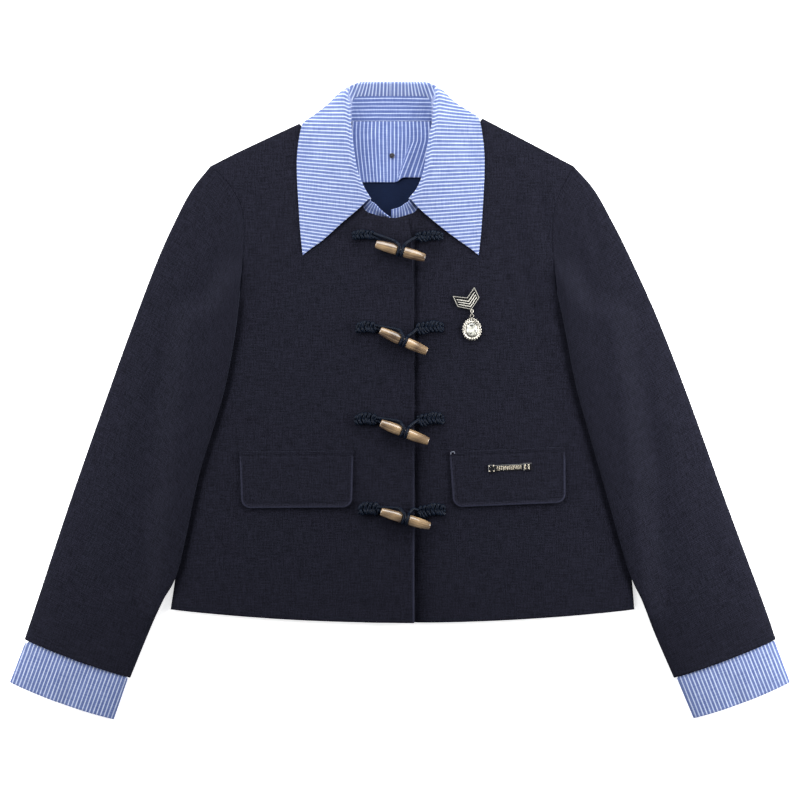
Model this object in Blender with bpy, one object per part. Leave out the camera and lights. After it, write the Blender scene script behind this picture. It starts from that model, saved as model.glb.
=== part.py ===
"""A cropped toggle blazer with a striped shirt collar and cuffs, laid flat on its back.

All lengths below are millimetres, and become metres as each mesh is made. X runs towards the
wearer's left, Y towards the collar and Z up from the surface that the back lies on.
"""

import functools
import math

import bpy
import numpy as np

MM = 0.001

# Cloth and the gaps at its seams
WOOL = 2.0  # twill with its lining
SHIRTING = 1.2
DICKEY_CLOTH = 1.0
SEAM = 0.3  # gap between pieces that are sewn together
EDGE_GAP = 0.35  # the same where two curved edges meet
AIR = 3.3  # how much further the fronts stand off the back away from the seams
SLEEVE_HEIGHT = 7.8
SLEEVE_EDGE = 2.6  # height of a sleeve's fold above what it lies on
SLEEVE_ON_BODY = 8.4  # what a sleeve lies on where it crosses the body's side
SIDE_ROUND = 22.0  # the width over which a front rises from its side seam
SHOULDER_ROUND = 20.0
COLLAR_LIFT = 1.55  # the back's rise over the part of the collar that is folded behind it

# Places along the body
COLLAR_X = -10.0  # the collar's middle
FRONT_EDGE_X = 15.1
UNDER_EDGE_X = -48.0
HEM_Y = -239.8
HEM_RISE = 14.4  # from the middle of the hem to its corners
HEM_HALF = 250.0

# Numbers of spans in the meshes
SPANS_ARMHOLE = 11  # along the visible armhole, and across each sleeve's top
SPANS_HIDDEN = 3  # along the part of the armhole that the sleeve folds over
SPANS_SIDE = 7
SPANS_SLEEVE = 13

# Edges of the body and sleeves: y, x on the wearer's right, x on the wearer's left
SIDE_SEAM = (
    (-225.7, -247.3, 252.7),
    (-187.0, -242.0, 249.5),
    (-110.0, -236.5, 242.5),
    (-20.0, -227.5, 233.0),
    (75.6, -216.0, 221.4),
)
ARMHOLE_BACK = (
    (251.6, -205.2, 187.9),
    (210.0, -195.0, 183.0),
    (170.0, -190.0, 181.0),
    (130.0, -193.0, 187.0),
    (95.0, -203.0, 202.0),
    (75.6, -216.0, 221.4),
)
ARMHOLE_FRONT = (
    (251.6, -205.2, 187.9),
    (241.9, -192.2, 181.4),
    (226.8, -180.4, 173.7),
    (208.0, -170.8, 167.0),
    (180.4, -167.4, 163.7),
    (150.0, -169.0, 165.4),
    (117.0, -171.7, 168.5),
)
ARMHOLE_UNDER = (
    (117.0, -171.7, 168.5),
    (98.0, -180.0, 180.0),
    (84.0, -196.0, 199.0),
    (75.6, -216.0, 221.4),
)
SLEEVE_OUTER = (
    (251.6, -205.2, 187.9),
    (226.8, -224.6, 209.5),
    (194.4, -241.9, 227.9),
    (151.2, -261.4, 249.5),
    (86.4, -286.2, 278.6),
    (0.0, -317.5, 312.1),
    (-108.0, -355.3, 351.0),
    (-216.0, -391.0, 391.0),
    (-258.0, -405.0, 405.5),
)
SLEEVE_INNER = (
    (117.0, -171.7, 168.5),
    (72.4, -177.1, 178.2),
    (16.2, -187.4, 189.0),
    (-31.3, -200.9, 202.0),
    (-85.3, -217.1, 217.5),
    (-181.4, -238.1, 245.2),
    (-216.0, -254.9, 260.3),
    (-248.4, -270.0, 273.2),
    (-299.6, -291.0, 295.4),
)
SLEEVE_END_BOW = 2.0
# Cuff corners: outer x, outer y, inner x, inner y, at the sleeve's end and at the cuff's own end
CUFF_CORNERS = (
    ("right", (-404.3, -261.5, -293.2, -299.4), (-421.0, -304.5, -308.9, -344.6)),
    ("left", (403.9, -259.0, 298.2, -299.2), (421.0, -304.5, 316.9, -343.4)),
)
CUFF_BOW = 2.6
# Cuff sections: distance from the sleeve's end, inset of each fold, underside, height
CUFF_SECTIONS = (
    (-24.0, 5.2, 2.5, 2.5),
    (-12.0, 5.2, 2.5, 2.5),
    (-1.5, 4.8, 2.5, 2.5),
    (5.0, 0.5, 1.40, 4.6),
    (16.0, 0.0, 0.40, 5.8),
    (30.0, 0.0, 0.0, 6.0),
    (45.8, 0.0, 0.0, 5.4),
)
CUFF_EDGE = 1.7

# The shoulder seams, from the armhole to the neck. They dip where the collar folds round them.
SHOULDERS = {
    "right": (
        (-205.2, 251.6), (-180.0, 264.6), (-145.0, 281.0), (-108.2, 298.0), (-105.4, 294.0),
        (-80.0, 302.5), (-54.0, 315.0),
    ),
    "left": (
        (187.9, 252.7), (162.0, 266.3), (126.0, 284.8), (88.6, 303.9), (85.8, 299.4),
        (60.0, 307.5), (34.0, 317.0),
    ),
}
# The fronts' necklines, from the shoulder to the front edge, and the back's from side to side
NECKLINES = {
    "right": (
        (-54.0, 315.0), (-54.0, 290.0), (-48.5, 252.0), (-42.6, 222.0), (-38.0, 205.0),
        (-27.0, 199.6), (-10.0, 195.9), (9.1, 196.6),
    ),
    "left": (
        (34.0, 317.0), (34.0, 290.0), (28.5, 252.0), (22.6, 222.0), (18.0, 205.0),
        (7.0, 199.2), (-16.0, 193.6), (-48.0, 190.0),
    ),
    "back": (
        (-54.0, 315.0), (-46.0, 310.5), (-35.0, 307.5), (-20.0, 306.0), (0.0, 306.0),
        (15.0, 307.5), (26.0, 311.0), (34.0, 317.0),
    ),
}

# Collar sections from the front to the middle of the back. h is the distance from the collar's
# middle. Each section runs from the seam inside the neck, over a knee and the stand's top edge, up
# to the ridge that the collar is folded on and out to its edge. Behind the neck it turns at that
# edge and runs back under the body.
#    seam h, y, z         knee h, y, z          top h, y, z           ridge h, y, z
#    edge h, y, z         under h, y
COLLAR = (
    ((30.0, 203.0, 4.3), (26.4, 207.4, 4.7), (21.5, 210.8, 10.2), (22.3, 213.5, 12.6),
     (95.4, 155.0, 8.7), None),
    ((34.0, 222.0, 4.3), (29.8, 224.0, 4.7), (27.2, 225.5, 11.2), (28.0, 228.0, 15.0),
     (97.4, 182.0, 8.7), None),
    ((38.5, 242.0, 4.3), (34.6, 243.0, 4.7), (33.8, 244.5, 12.0), (34.8, 247.0, 17.0),
     (99.2, 211.0, 8.7), None),
    ((42.3, 262.0, 4.3), (38.4, 262.5, 4.8), (38.0, 263.5, 12.5), (39.2, 265.5, 18.3),
     (100.8, 240.0, 8.7), None),
    ((44.0, 281.0, 5.0), (41.2, 281.0, 5.7), (40.6, 281.0, 12.5), (41.6, 283.0, 18.8),
     (100.8, 264.0, 8.7), None),
    ((42.4, 295.0, 5.0), (42.0, 296.0, 6.4), (41.8, 297.0, 12.0), (42.8, 299.5, 18.6),
     (99.4, 286.0, 10.0), None),
    ((42.0, 299.0, 4.9), (41.9, 302.5, 6.6), (41.6, 307.0, 11.5), (43.2, 309.5, 18.1),
     (96.8, 300.4, 9.2), None),
    ((41.0, 300.5, 4.8), (41.3, 306.5, 6.7), (41.2, 312.5, 11.2), (43.4, 316.5, 17.6),
     (94.6, 302.6, 8.2), (93.4, 300.7)),
    ((38.5, 300.6, 4.7), (39.3, 310.0, 6.7), (39.9, 319.5, 10.7), (43.2, 326.0, 17.0),
     (85.2, 307.8, 7.8), (83.0, 295.0)),
    ((35.0, 300.6, 4.6), (36.2, 312.0, 6.6), (37.4, 324.0, 10.2), (42.2, 332.5, 16.5),
     (69.0, 318.8, 7.8), (70.0, 292.5)),
    ((30.0, 300.7, 4.5), (31.6, 313.0, 6.5), (33.5, 326.4, 9.7), (38.8, 337.4, 15.9),
     (52.0, 332.4, 8.4), (55.0, 292.5)),
    ((23.0, 300.7, 4.5), (24.6, 313.5, 6.4), (26.0, 327.0, 9.2), (30.5, 340.0, 15.2),
     (34.0, 342.8, 8.4), (38.0, 294.0)),
    ((12.0, 300.7, 4.5), (12.8, 313.8, 6.3), (13.5, 327.2, 8.8), (15.5, 340.8, 15.0),
     (17.0, 344.0, 8.4), (18.0, 296.0)),
    ((0.0, 300.7, 4.5), (0.0, 313.8, 6.3), (0.0, 327.2, 8.6), (0.0, 341.0, 15.0),
     (0.0, 344.2, 8.4), (0.0, 297.0)),
)
COLLAR_TILT = 2.8  # how much further up the collar's edge lies on the left shoulder
# The stand's ends in front of the collar's first section: seam, knee and top, each h, y, z
STAND_ENDS = (
    ((0.5, 191.6, 4.3), (0.5, 195.8, 4.7), (0.5, 200.1, 8.6)),
    ((10.0, 193.0, 4.3), (10.0, 198.6, 4.7), (9.0, 205.4, 9.4)),
    ((20.0, 196.4, 4.3), (19.2, 202.6, 4.7), (15.8, 209.8, 9.8)),
)
UNDERSIDE_Z = 0.62  # middle of the cloth that is folded behind the back
FOLD_ROUND = 3.2  # from the collar's folded edge to where its two faces run flat
STAND_GAP = 1.0  # between the stand's top edge and the collar that is folded over it
# Shares of the way from ridge to edge, where the collar lies open and where it is folded under
RUN_OPEN = (0.12, 0.4, 0.72, 0.9, 0.935, 0.96, 0.98, 1.0)
RUN_FOLDED = (0.15, 0.45, 0.75)

# The flap that hangs from the stand inside the back: y, half width
DICKEY = ((299.4, 40.4), (288.0, 41.2), (277.0, 40.8), (266.0, 39.8), (250.0, 37.6), (237.0, 35.6))
DICKEY_STEP = (-1.6, 4.6, -4.0, 7.0)  # change of its lower edge, the step in it, its x and width
DICKEY_GAP = 0.55
DICKEY_COLUMNS = 16
SNAP_PLACE = (-8.6, 264.6)
SNAP_RADIUS = 3.8
SNAP_HEIGHT = 1.6

# Pocket flaps: middle of the top edge, turn in degrees, width, depth
FLAPS = {
    "right": ((-111.5, -55.0), 0.5, 123.0, 61.0),
    "left": ((115.3, -53.0), 2.4, 125.0, 60.0),
}
FLAP_CORNER = 10.0
FLAP_TAPER = 2.0
FLAP_CLOTH = 1.8

# Toggles: middle, and slope down to the wearer's left in degrees, then the frogs' places from it
TOGGLES = (
    ((0.5, 159.8), 15.9, (-39.9, 17.5), (31.1, 16.5)),
    ((3.8, 63.2), 24.1, (-40.0, 14.6), (28.4, 14.9)),
    ((4.9, -34.6), 21.0, (-41.9, 13.6), (28.1, 14.1)),
    ((5.9, -127.4), 16.6, (-39.2, 9.9), (28.0, 8.6)),
)
TOGGLE_HALF = 27.5
TOGGLE_SIDES = 12
# Half of a toggle's outline: distance from its middle, radius
TOGGLE_OUTLINE = (
    (0.0, 3.2),
    (3.6, 3.2),
    (4.0, 5.0),
    (14.0, 5.0),
    (23.0, 4.4),
    (26.6, 3.8),
    (27.5, 2.6),
)
CORD_RADIUS = 1.5
CORD_STATIONS = 22
# Cord routes from a toggle's middle: along it, across it towards the collar, above it
LOOP_ABOVE = ((-11.0, 8.6, -0.6), (-6.0, 7.0, 3.6))
LOOP_ROUTE = (
    (-3.0, 5.0, 5.6), (-1.75, 2.6, 5.6), (-1.75, -0.6, 5.3), (-1.75, -3.4, 4.1),
    (-1.75, -5.1, 1.2), (-1.75, -4.8, -2.2), (-1.9, -2.6, -5.2),
)
LOOP_BELOW = ((-4.6, -0.4, -7.0), (-12.0, 3.0, -7.0))
TAIL_ROUTE = (
    (1.75, 5.2, 0.6), (1.75, 4.0, 3.6), (1.75, 0.6, 5.3), (1.75, -3.0, 4.4), (1.75, -5.1, 1.2),
    (1.75, -4.6, -2.6), (1.75, -1.4, -5.2),
)
TAIL_ABOVE = ((5.4, 12.4, -5.2), (2.4, 7.6, -2.4))
FROG_LENGTH = {"right": 23.0, "left": 29.0}
FROG_WIDTH = 10.8
FROG_HEIGHT = 2.8

# The bar on the left flap
BAR_PLACE = (117.4, -72.8)
BAR_TURN = 2.9
BAR_LENGTH = 45.0
BAR_CLIP = 7.0
BAR_STRIP = 4.6
BAR_HEIGHT = 1.2
BAR_CLIP_HEIGHT = 2.0

# The brooch: its plate's outline from the notch at its middle, then the chain and medallion
BROOCH_PLACE = (71.8, 110.6)
BROOCH_TURN = 21.0
BROOCH_HALF = 12.7
BROOCH_WING = 6.4  # the outer corners above and below the notch
BROOCH_POINT = 14.4
BROOCH_PLATE = 1.6
LOOP_HOLE = (1.5, 0.4)  # radius to the middle of the wire, radius of the wire
RING_SIZE = (2.6, 0.36)
EYE_SIZE = (1.75, 0.5)
MEDALLION_RADIUS = 10.6
MEDALLION_BACK = 1.4  # below the middle of its thickness
# The setting's outline above that: radius, height
SETTING = ((10.6, -1.1), (10.6, 0.75), (9.4, 1.3), (8.2, 1.3), (7.2, 0.4))
STONE = ((6.9, 0.7), (6.2, 1.8), (4.4, 2.7), (2.2, 3.1))
ROUND_SIDES = 28
WIRE_SIDES = 8
WIRE_TURNS = 20

SIGN = {"right": -1, "left": 1}

# Finish of each material: colour, roughness, metallic
FINISHES = {
    "navy_wool": ((0.020, 0.019, 0.034), 0.90, 0.0),
    "striped_shirting": ((0.30, 0.36, 0.68), 0.85, 0.0),
    "navy_cord": ((0.006, 0.011, 0.022), 0.75, 0.0),
    "horn": ((0.40, 0.27, 0.15), 0.35, 0.0),
    "silver": ((0.75, 0.75, 0.76), 0.25, 1.0),
    "brass": ((0.75, 0.60, 0.32), 0.30, 1.0),
    "black_enamel": ((0.008, 0.008, 0.010), 0.15, 0.0),
    "crystal": ((0.86, 0.86, 0.82), 0.10, 0.0),
}


# ---------------------------------------------------------------- curves and grids


def along(points, shares):
    """Points at the given shares of a polyline's length."""
    points = np.asarray(points, float)
    length = np.concatenate([[0.0], np.cumsum(np.linalg.norm(np.diff(points, axis=0), axis=1))])
    return np.stack([np.interp(np.asarray(shares) * length[-1], length, column)
                     for column in points.T], axis=-1)


def between_rows(rows, at):
    """Values at fractional row numbers, by cubics that keep each row's slope."""
    rows = np.asarray(rows, float)
    at = np.clip(np.asarray(at, float), 0, len(rows) - 1)
    slopes = np.gradient(rows, axis=0)
    low = np.minimum(at.astype(int), len(rows) - 2)
    t = (at - low).reshape((-1,) + (1,) * (rows.ndim - 1))
    first, last = rows[low], rows[low + 1]
    return (
        first * (1 + 2 * t) * (1 - t) ** 2
        + slopes[low] * t * (1 - t) ** 2
        + last * t * t * (3 - 2 * t)
        + slopes[low + 1] * t * t * (t - 1)
    )


def smooth(rows, shares):
    """Points at the given shares of the length of a smooth curve through the rows."""
    fine = between_rows(rows, np.linspace(0, len(rows) - 1, 16 * len(rows)))
    return along(fine, shares)


def even(spans):
    return np.linspace(0, 1, spans + 1)


def crowded(spans):
    """Shares from 0 to 1 that lie closer together towards both ends."""
    return (1 - np.cos(np.pi * even(spans))) / 2


def ramp(value, low, high):
    """0 below low and 1 above high, with a smooth rise between."""
    t = np.clip((np.asarray(value, float) - low) / (high - low), 0, 1)
    return t * t * (3 - 2 * t)


def side_of(table, side):
    """A table's (x, y) points on one side of the body."""
    column = 1 if side == "right" else 2
    return [(row[column], row[0]) for row in table]


def joined(*pieces):
    """Polylines that follow each other, with each shared point kept once."""
    return np.concatenate([pieces[0]] + [piece[1:] for piece in pieces[1:]])


def shares_of(points):
    """Each point's share of its polyline's length."""
    length = np.concatenate([[0.0], np.cumsum(np.linalg.norm(np.diff(points, axis=0), axis=1))])
    return length / length[-1]


def middles(points):
    """The middle of each span of a polyline, as a share of its length."""
    shares = shares_of(points)
    return (shares[1:] + shares[:-1]) / 2


def moved_out(points, distance, sign):
    """A polyline that runs down the body, moved sideways away from the body's middle."""
    run = np.gradient(np.asarray(points, float), axis=0)
    run /= np.linalg.norm(run, axis=1, keepdims=True)
    return points + distance * sign * np.stack([-run[:, 1], run[:, 0]], axis=-1)


def spanned(start, end, near, far, u, v):
    """A grid between four edges: start and end run along u, near and far along v."""
    u = np.asarray(u)[None, :, None]
    v = np.asarray(v)[:, None, None]
    straight = (1 - v) * start[None] + v * end[None]
    crosswise = (1 - u) * near[:, None] + u * far[:, None]
    corners = (1 - v) * ((1 - u) * start[0] + u * start[-1]) + v * (
        (1 - u) * end[0] + u * end[-1]
    )
    return straight + crosswise - corners


def grid_faces(index):
    """The triangles of a grid of vertex numbers, all split along the same diagonal."""
    a, b, c, d = index[:-1, :-1], index[:-1, 1:], index[1:, 1:], index[1:, :-1]
    return np.concatenate([np.stack([a, b, c], -1), np.stack([a, c, d], -1)]).reshape(-1, 3)


def nearest(points, line):
    """Each point's distance from a polyline, with the sign of the side that it lies on."""
    first, step = line[:-1], np.diff(line, axis=0)
    offset = points[..., None, :] - first
    share = np.clip((offset * step).sum(-1) / (step * step).sum(-1), 0, 1)
    gap = np.linalg.norm(offset - share[..., None] * step, axis=-1)
    pick = gap.argmin(axis=-1)[..., None]
    turn = step[..., 0] * offset[..., 1] - step[..., 1] * offset[..., 0]
    sign = np.sign(np.take_along_axis(turn, pick, -1)[..., 0])
    return np.take_along_axis(gap, pick, -1)[..., 0] * sign


def with_height(plan, height):
    return np.concatenate([plan, np.broadcast_to(height, plan.shape[:-1])[..., None]], axis=-1)


# ---------------------------------------------------------------- seams of the body

SIDE_LINE = {side: smooth(side_of(SIDE_SEAM, side), even(SPANS_SIDE)) for side in SIGN}
FRONT_HOLE = {side: smooth(side_of(ARMHOLE_FRONT, side), crowded(SPANS_ARMHOLE)) for side in SIGN}
UNDER_HOLE = {side: smooth(side_of(ARMHOLE_UNDER, side), even(SPANS_HIDDEN)) for side in SIGN}
BACK_HOLE = {
    side: smooth(side_of(ARMHOLE_BACK, side), crowded(SPANS_ARMHOLE - SPANS_HIDDEN))
    for side in SIGN
}
SHOULDER_LINE = {side: np.array(SHOULDERS[side]) for side in SIGN}
# Where a sleeve crosses the body's edge: down the hidden armhole and the side seam
CROSSING = {side: joined(UNDER_HOLE[side], SIDE_LINE[side][::-1]) for side in SIGN}


def rise(distance, width):
    """0 at a seam and 1 from the given distance on, steep at first as folded cloth is."""
    q = np.clip(distance / width, 0, 1)
    return (1 - (1 - q) ** 2) ** 0.7


def back_top(plan):
    return WOOL + COLLAR_LIFT * ramp(plan[..., 1], 256.0, 287.0)


def front_under(plan, over):
    """Underside of a front, which rises off the back away from the side and shoulder seams. The
    under front's covered edge droops back to it, and the over front rises over the under one."""
    side = np.minimum(*(np.abs(nearest(plan, SIDE_LINE[name])) for name in SIGN))
    shoulder = np.minimum(*(SIGN[name] * nearest(plan, SHOULDER_LINE[name]) for name in SIGN))
    height = back_top(plan) + SEAM
    droop = (1 - over) * ramp(plan[..., 0], -22.0, UNDER_EDGE_X)
    height = height + AIR * rise(side, SIDE_ROUND) * rise(shoulder, SHOULDER_ROUND) * (1 - droop)
    return height + over * (WOOL + SEAM) * ramp(plan[..., 0], -52.0, -24.0)


@functools.cache
def front_grid(side):
    """Top of a front, from side seam and armhole to edge and neckline. The right lies on the left."""
    over = side == "right"
    near = joined(SIDE_LINE[side], UNDER_HOLE[side][::-1], FRONT_HOLE[side][::-1])
    neck = np.array(NECKLINES[side])[::-1]
    edge_x = FRONT_EDGE_X if over else UNDER_EDGE_X
    edge = smooth([hem(edge_x), (edge_x, 0.0), (edge_x - 1.6 * over, 145.0), neck[0]],
                  even(len(near) - len(neck)))
    far = joined(edge, neck)
    shoulder = SHOULDER_LINE[side]
    shoulder = along(shoulder, np.sort(np.concatenate([shares_of(shoulder), middles(shoulder)])))
    shares = crowded(len(shoulder) - 1)
    bottom = hem(near[0, 0] + (edge_x - near[0, 0]) * shares)
    plan = spanned(bottom, shoulder, near, far, shares, shares_of(near))
    return with_height(plan, front_under(plan, over) + WOOL)


def facet_height(grid, plan):
    """Height of a gridded surface's flat triangles at plan points, and not a number off it."""
    index = np.arange(grid.shape[0] * grid.shape[1]).reshape(grid.shape[:2])
    corners = grid.reshape(-1, 3)[grid_faces(index)]
    first, second = corners[:, 1] - corners[:, 0], corners[:, 2] - corners[:, 0]
    offset = plan[..., None, :] - corners[:, 0, :2]
    area = first[:, 0] * second[:, 1] - first[:, 1] * second[:, 0]
    u = (offset[..., 0] * second[:, 1] - offset[..., 1] * second[:, 0]) / area
    v = (first[:, 0] * offset[..., 1] - first[:, 1] * offset[..., 0]) / area
    inside = (u > -1e-6) & (v > -1e-6) & (u + v < 1 + 1e-6)
    height = corners[:, 0, 2] + u * first[:, 2] + v * second[:, 2]
    height = np.where(inside, height, -np.inf).max(axis=-1)
    return np.where(np.isfinite(height), height, np.nan)


def body_top(plan):
    """Top of whichever front shows, and past a front's edges the height that it would have."""
    over = 1 - ramp(plan[..., 0], FRONT_EDGE_X + 1, FRONT_EDGE_X + 9)
    smooth_top = front_under(plan, over) + WOOL
    tops = [facet_height(front_grid(side), plan) for side in SIGN]
    return np.where(np.isnan(tops[0]), np.where(np.isnan(tops[1]), smooth_top, tops[1]), tops[0])


def hem(x):
    """The hem's points at the given x: a shallow arc that is lowest at the middle."""
    x = np.asarray(x, float)
    return np.stack([x, HEM_Y + HEM_RISE * (x / HEM_HALF) ** 2], axis=-1)


# ---------------------------------------------------------------- meshes


def finish(name):
    material = bpy.data.materials.get(name)
    if material:
        return material
    colour, roughness, metallic = FINISHES[name]
    material = bpy.data.materials.new(name)
    material.use_nodes = True
    shader = material.node_tree.nodes["Principled BSDF"]
    shader.inputs["Base Color"].default_value = (*colour, 1)
    shader.inputs["Roughness"].default_value = roughness
    shader.inputs["Metallic"].default_value = metallic
    return material


def solid(name, points, faces, material, pivot=(0, 0, 0)):
    """An object with its origin at the pivot, from points and faces given in the garment's frame."""
    mesh = bpy.data.meshes.new(name)
    local = (np.asarray(points, float).reshape(-1, 3) - np.asarray(pivot, float)) * MM
    mesh.from_pydata(local.tolist(), [], [list(map(int, face)) for face in faces])
    mesh.validate()
    volume = 0.0
    mesh.calc_loop_triangles()
    for triangle in mesh.loop_triangles:
        a, b, c = (mesh.vertices[index].co for index in triangle.vertices)
        volume += a.dot(b.cross(c))
    if volume < 0:
        mesh.flip_normals()
    mesh.shade_smooth()
    mesh.set_sharp_from_angle(angle=math.radians(45))
    mesh.materials.append(finish(material))
    piece = bpy.data.objects.new(name, mesh)
    piece.location = [value * MM for value in pivot]
    bpy.context.scene.collection.objects.link(piece)
    return piece


def wall(name, upper, lower, material, loop=False, pivot=(0, 0, 0)):
    """A closed wall between two matching grids, with a rim along every open edge."""
    rows, columns = upper.shape[:2]
    index = np.arange(rows * columns).reshape(rows, columns)
    if loop:
        index = np.hstack([index, index[:, :1]])
    under = index + rows * columns
    rims = [(index[0], under[0]), (under[-1], index[-1])]
    if not loop:
        rims += [(under[:, 0], index[:, 0]), (index[:, -1], under[:, -1])]
    faces = [grid_faces(index)[:, ::-1], grid_faces(under)]
    faces += [grid_faces(np.stack(pair)) for pair in rims]
    points = np.concatenate([upper.reshape(-1, 3), lower.reshape(-1, 3)])
    return solid(name, points, np.concatenate(faces), material, pivot)


def offset_both_ways(grid, thickness):
    """A sheet's two faces, half the thickness either side of its grid."""
    across = np.gradient(grid, axis=1)
    down = np.gradient(grid, axis=0)
    normal = np.cross(down, across)
    normal /= np.linalg.norm(normal, axis=-1, keepdims=True)
    return grid + normal * thickness / 2, grid - normal * thickness / 2


def turned(name, outline, sides, material, place, frame, pivot=(0, 0, 0)):
    """A solid turned about frame's first axis, from (distance along it, radius) rows."""
    along_axis, first, second = (np.asarray(axis, float) for axis in frame)
    angle = np.arange(sides) * 2 * np.pi / sides
    circle = np.cos(angle)[:, None] * first + np.sin(angle)[:, None] * second
    rings = [np.asarray(place) + d * along_axis + r * circle for d, r in outline]
    points = np.concatenate(rings)
    index = np.arange(len(points)).reshape(len(outline), sides)
    index = np.hstack([index, index[:, :1]])
    faces = [list(face) for face in grid_faces(index)]
    faces += [list(index[0, :-1][::-1]), list(index[-1, :-1])]
    return solid(name, points, faces, material, pivot)


def plate(name, outline, bottom, top, material, pivot=(0, 0, 0)):
    """A flat plate of the given plan outline."""
    count = len(outline)
    outline = np.asarray(outline, float)
    points = np.concatenate([with_height(outline, bottom), with_height(outline, top)])
    faces = [list(range(count))[::-1], list(range(count, 2 * count))]
    faces += [[i, (i + 1) % count, count + (i + 1) % count, count + i] for i in range(count)]
    return solid(name, points, faces, material, pivot)


def cord(name, route, radius):
    """A round cord along a smooth curve through the route's points."""
    curve = bpy.data.curves.new(name, "CURVE")
    curve.dimensions = "3D"
    curve.bevel_depth = radius * MM
    curve.bevel_resolution = 2
    curve.use_fill_caps = True
    points = smooth(route, even(CORD_STATIONS)) * MM
    spline = curve.splines.new("POLY")
    spline.points.add(len(points) - 1)
    for point, place in zip(spline.points, points):
        point.co = (*place, 1)
    curve.materials.append(finish("navy_cord"))
    piece = bpy.data.objects.new(name, curve)
    bpy.context.scene.collection.objects.link(piece)
    return piece


def turn_plan(points, degrees, place):
    """Plan points turned counter-clockwise about the origin and moved to their place."""
    angle = math.radians(degrees)
    points = np.asarray(points, float)
    x = points[..., 0] * math.cos(angle) - points[..., 1] * math.sin(angle)
    y = points[..., 0] * math.sin(angle) + points[..., 1] * math.cos(angle)
    return np.stack([x + place[0], y + place[1]], axis=-1)


# ---------------------------------------------------------------- body


def make_back():
    """One flat panel, raised a little where the collar is folded behind it."""
    near = joined(SIDE_LINE["right"], BACK_HOLE["right"][::-1])
    far = joined(SIDE_LINE["left"], BACK_HOLE["left"][::-1])
    top = joined(SHOULDER_LINE["right"], NECKLINES["back"], SHOULDER_LINE["left"][::-1])
    bottom = hem(np.linspace(near[0, 0], far[0, 0], len(top)))
    plan = spanned(bottom, top, near, far, shares_of(bottom), shares_of(near))
    upper = back_top(plan)
    wall("back", with_height(plan, upper), with_height(plan, upper - WOOL), "navy_wool")


def make_front(side):
    upper = front_grid(side)
    wall(f"front_{side}", upper, upper - (0, 0, WOOL), "navy_wool")


# ---------------------------------------------------------------- sleeves and cuffs


def flat_tube(name, plans, inner_plans, floor, height, edge, thickness, shares, material):
    """A flattened tube: plans and floors are given for its top and bottom layers, which share
    their first and last columns, the two folds."""
    q = np.abs(2 * shares - 1)
    crown = np.sqrt(1 - q**3)
    flat = np.sqrt(1 - q**12)
    outer_top = with_height(plans[0], floor[0] + edge + (height[0] - edge) * crown)
    outer_bottom = with_height(plans[1], floor[1] + edge * (1 - flat))
    inner_top = with_height(inner_plans[0], floor[0] + edge + (height[0] - edge - thickness) * crown)
    inner_bottom = with_height(inner_plans[1], floor[1] + edge + (thickness - edge) * flat)
    rings = [
        np.concatenate([top, bottom[:, -2:0:-1]], axis=1)
        for top, bottom in ((outer_top, outer_bottom), (inner_top, inner_bottom))
    ]
    return wall(name, rings[0], rings[1], material, loop=True)


def inset(plan, near, far, shares, distance):
    """A sleeve layer's plan with its two folds moved in by the distance."""
    moves = []
    for fold, other in ((near, far), (far, near)):
        run = np.gradient(fold, axis=0)
        run /= np.linalg.norm(run, axis=1, keepdims=True)
        inward = np.stack([-run[:, 1], run[:, 0]], axis=-1)
        inward *= np.sign((inward[-1] * (other - fold)[-1]).sum())
        moves.append(inward)
    tip = plan[0, 1] - plan[0, 0]
    moves[0][0] = 0.4 * tip / np.linalg.norm(tip)
    first = np.clip(1 - 2 * shares, 0, 1) ** 4
    last = np.clip(2 * shares - 1, 0, 1) ** 4
    across = first[None, :, None] * moves[0][:, None] + last[None, :, None] * moves[1][:, None]
    return plan + distance * across


def make_sleeve(side):
    """A tube from the armhole to the wrist. Its inner part lies on the side of the body."""
    sign = SIGN[side]
    front = moved_out(FRONT_HOLE[side], EDGE_GAP, sign)
    behind = moved_out(joined(BACK_HOLE[side], UNDER_HOLE[side][::-1]), 2 * EDGE_GAP, sign)
    behind[0], behind[-1] = front[0], front[-1]
    v = even(SPANS_SLEEVE)
    outer = smooth([front[0]] + side_of(SLEEVE_OUTER, side)[1:], v)
    inner = smooth([front[-1]] + side_of(SLEEVE_INNER, side)[1:], v)
    shares = crowded(SPANS_ARMHOLE)
    end = outer[-1] + shares[:, None] * (inner[-1] - outer[-1])
    end[:, 1] -= SLEEVE_END_BOW * 4 * shares * (1 - shares)

    plans, inner_plans, floors, heights = [], [], [], []
    for layer, start in enumerate((front, behind)):
        even_start = along(start, shares) if layer else start
        edges = (even_start, end, outer, inner)
        plan = spanned(*edges, shares, v)
        plan[0] = start
        inside = inset(plan, outer, inner, shares, WOOL)
        floor = SLEEVE_ON_BODY * ramp(sign * -nearest(plan, CROSSING[side]), -40.0, -4.0)
        plans.append(plan)
        inner_plans.append(inside)
        floors.append(floor)
    away = ramp(v, 0.0, 0.12)[:, None]
    fold = floors[0][0, -1] + SLEEVE_EDGE
    seam = body_top(front) + (fold - body_top(front)) * ramp(shares, 0.7, 1.0)
    crown = np.sqrt(1 - np.abs(2 * shares - 1) ** 3)
    at_seam = (seam - floors[0][0] - SLEEVE_EDGE) / np.maximum(crown, 0.25) + SLEEVE_EDGE
    heights = away * SLEEVE_HEIGHT + (1 - away) * at_seam
    heights = np.maximum(heights, WOOL + SLEEVE_EDGE)
    flat_tube(
        f"sleeve_{side}", plans, inner_plans, floors, (heights,), SLEEVE_EDGE, WOOL, shares,
        "navy_wool",
    )


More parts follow.
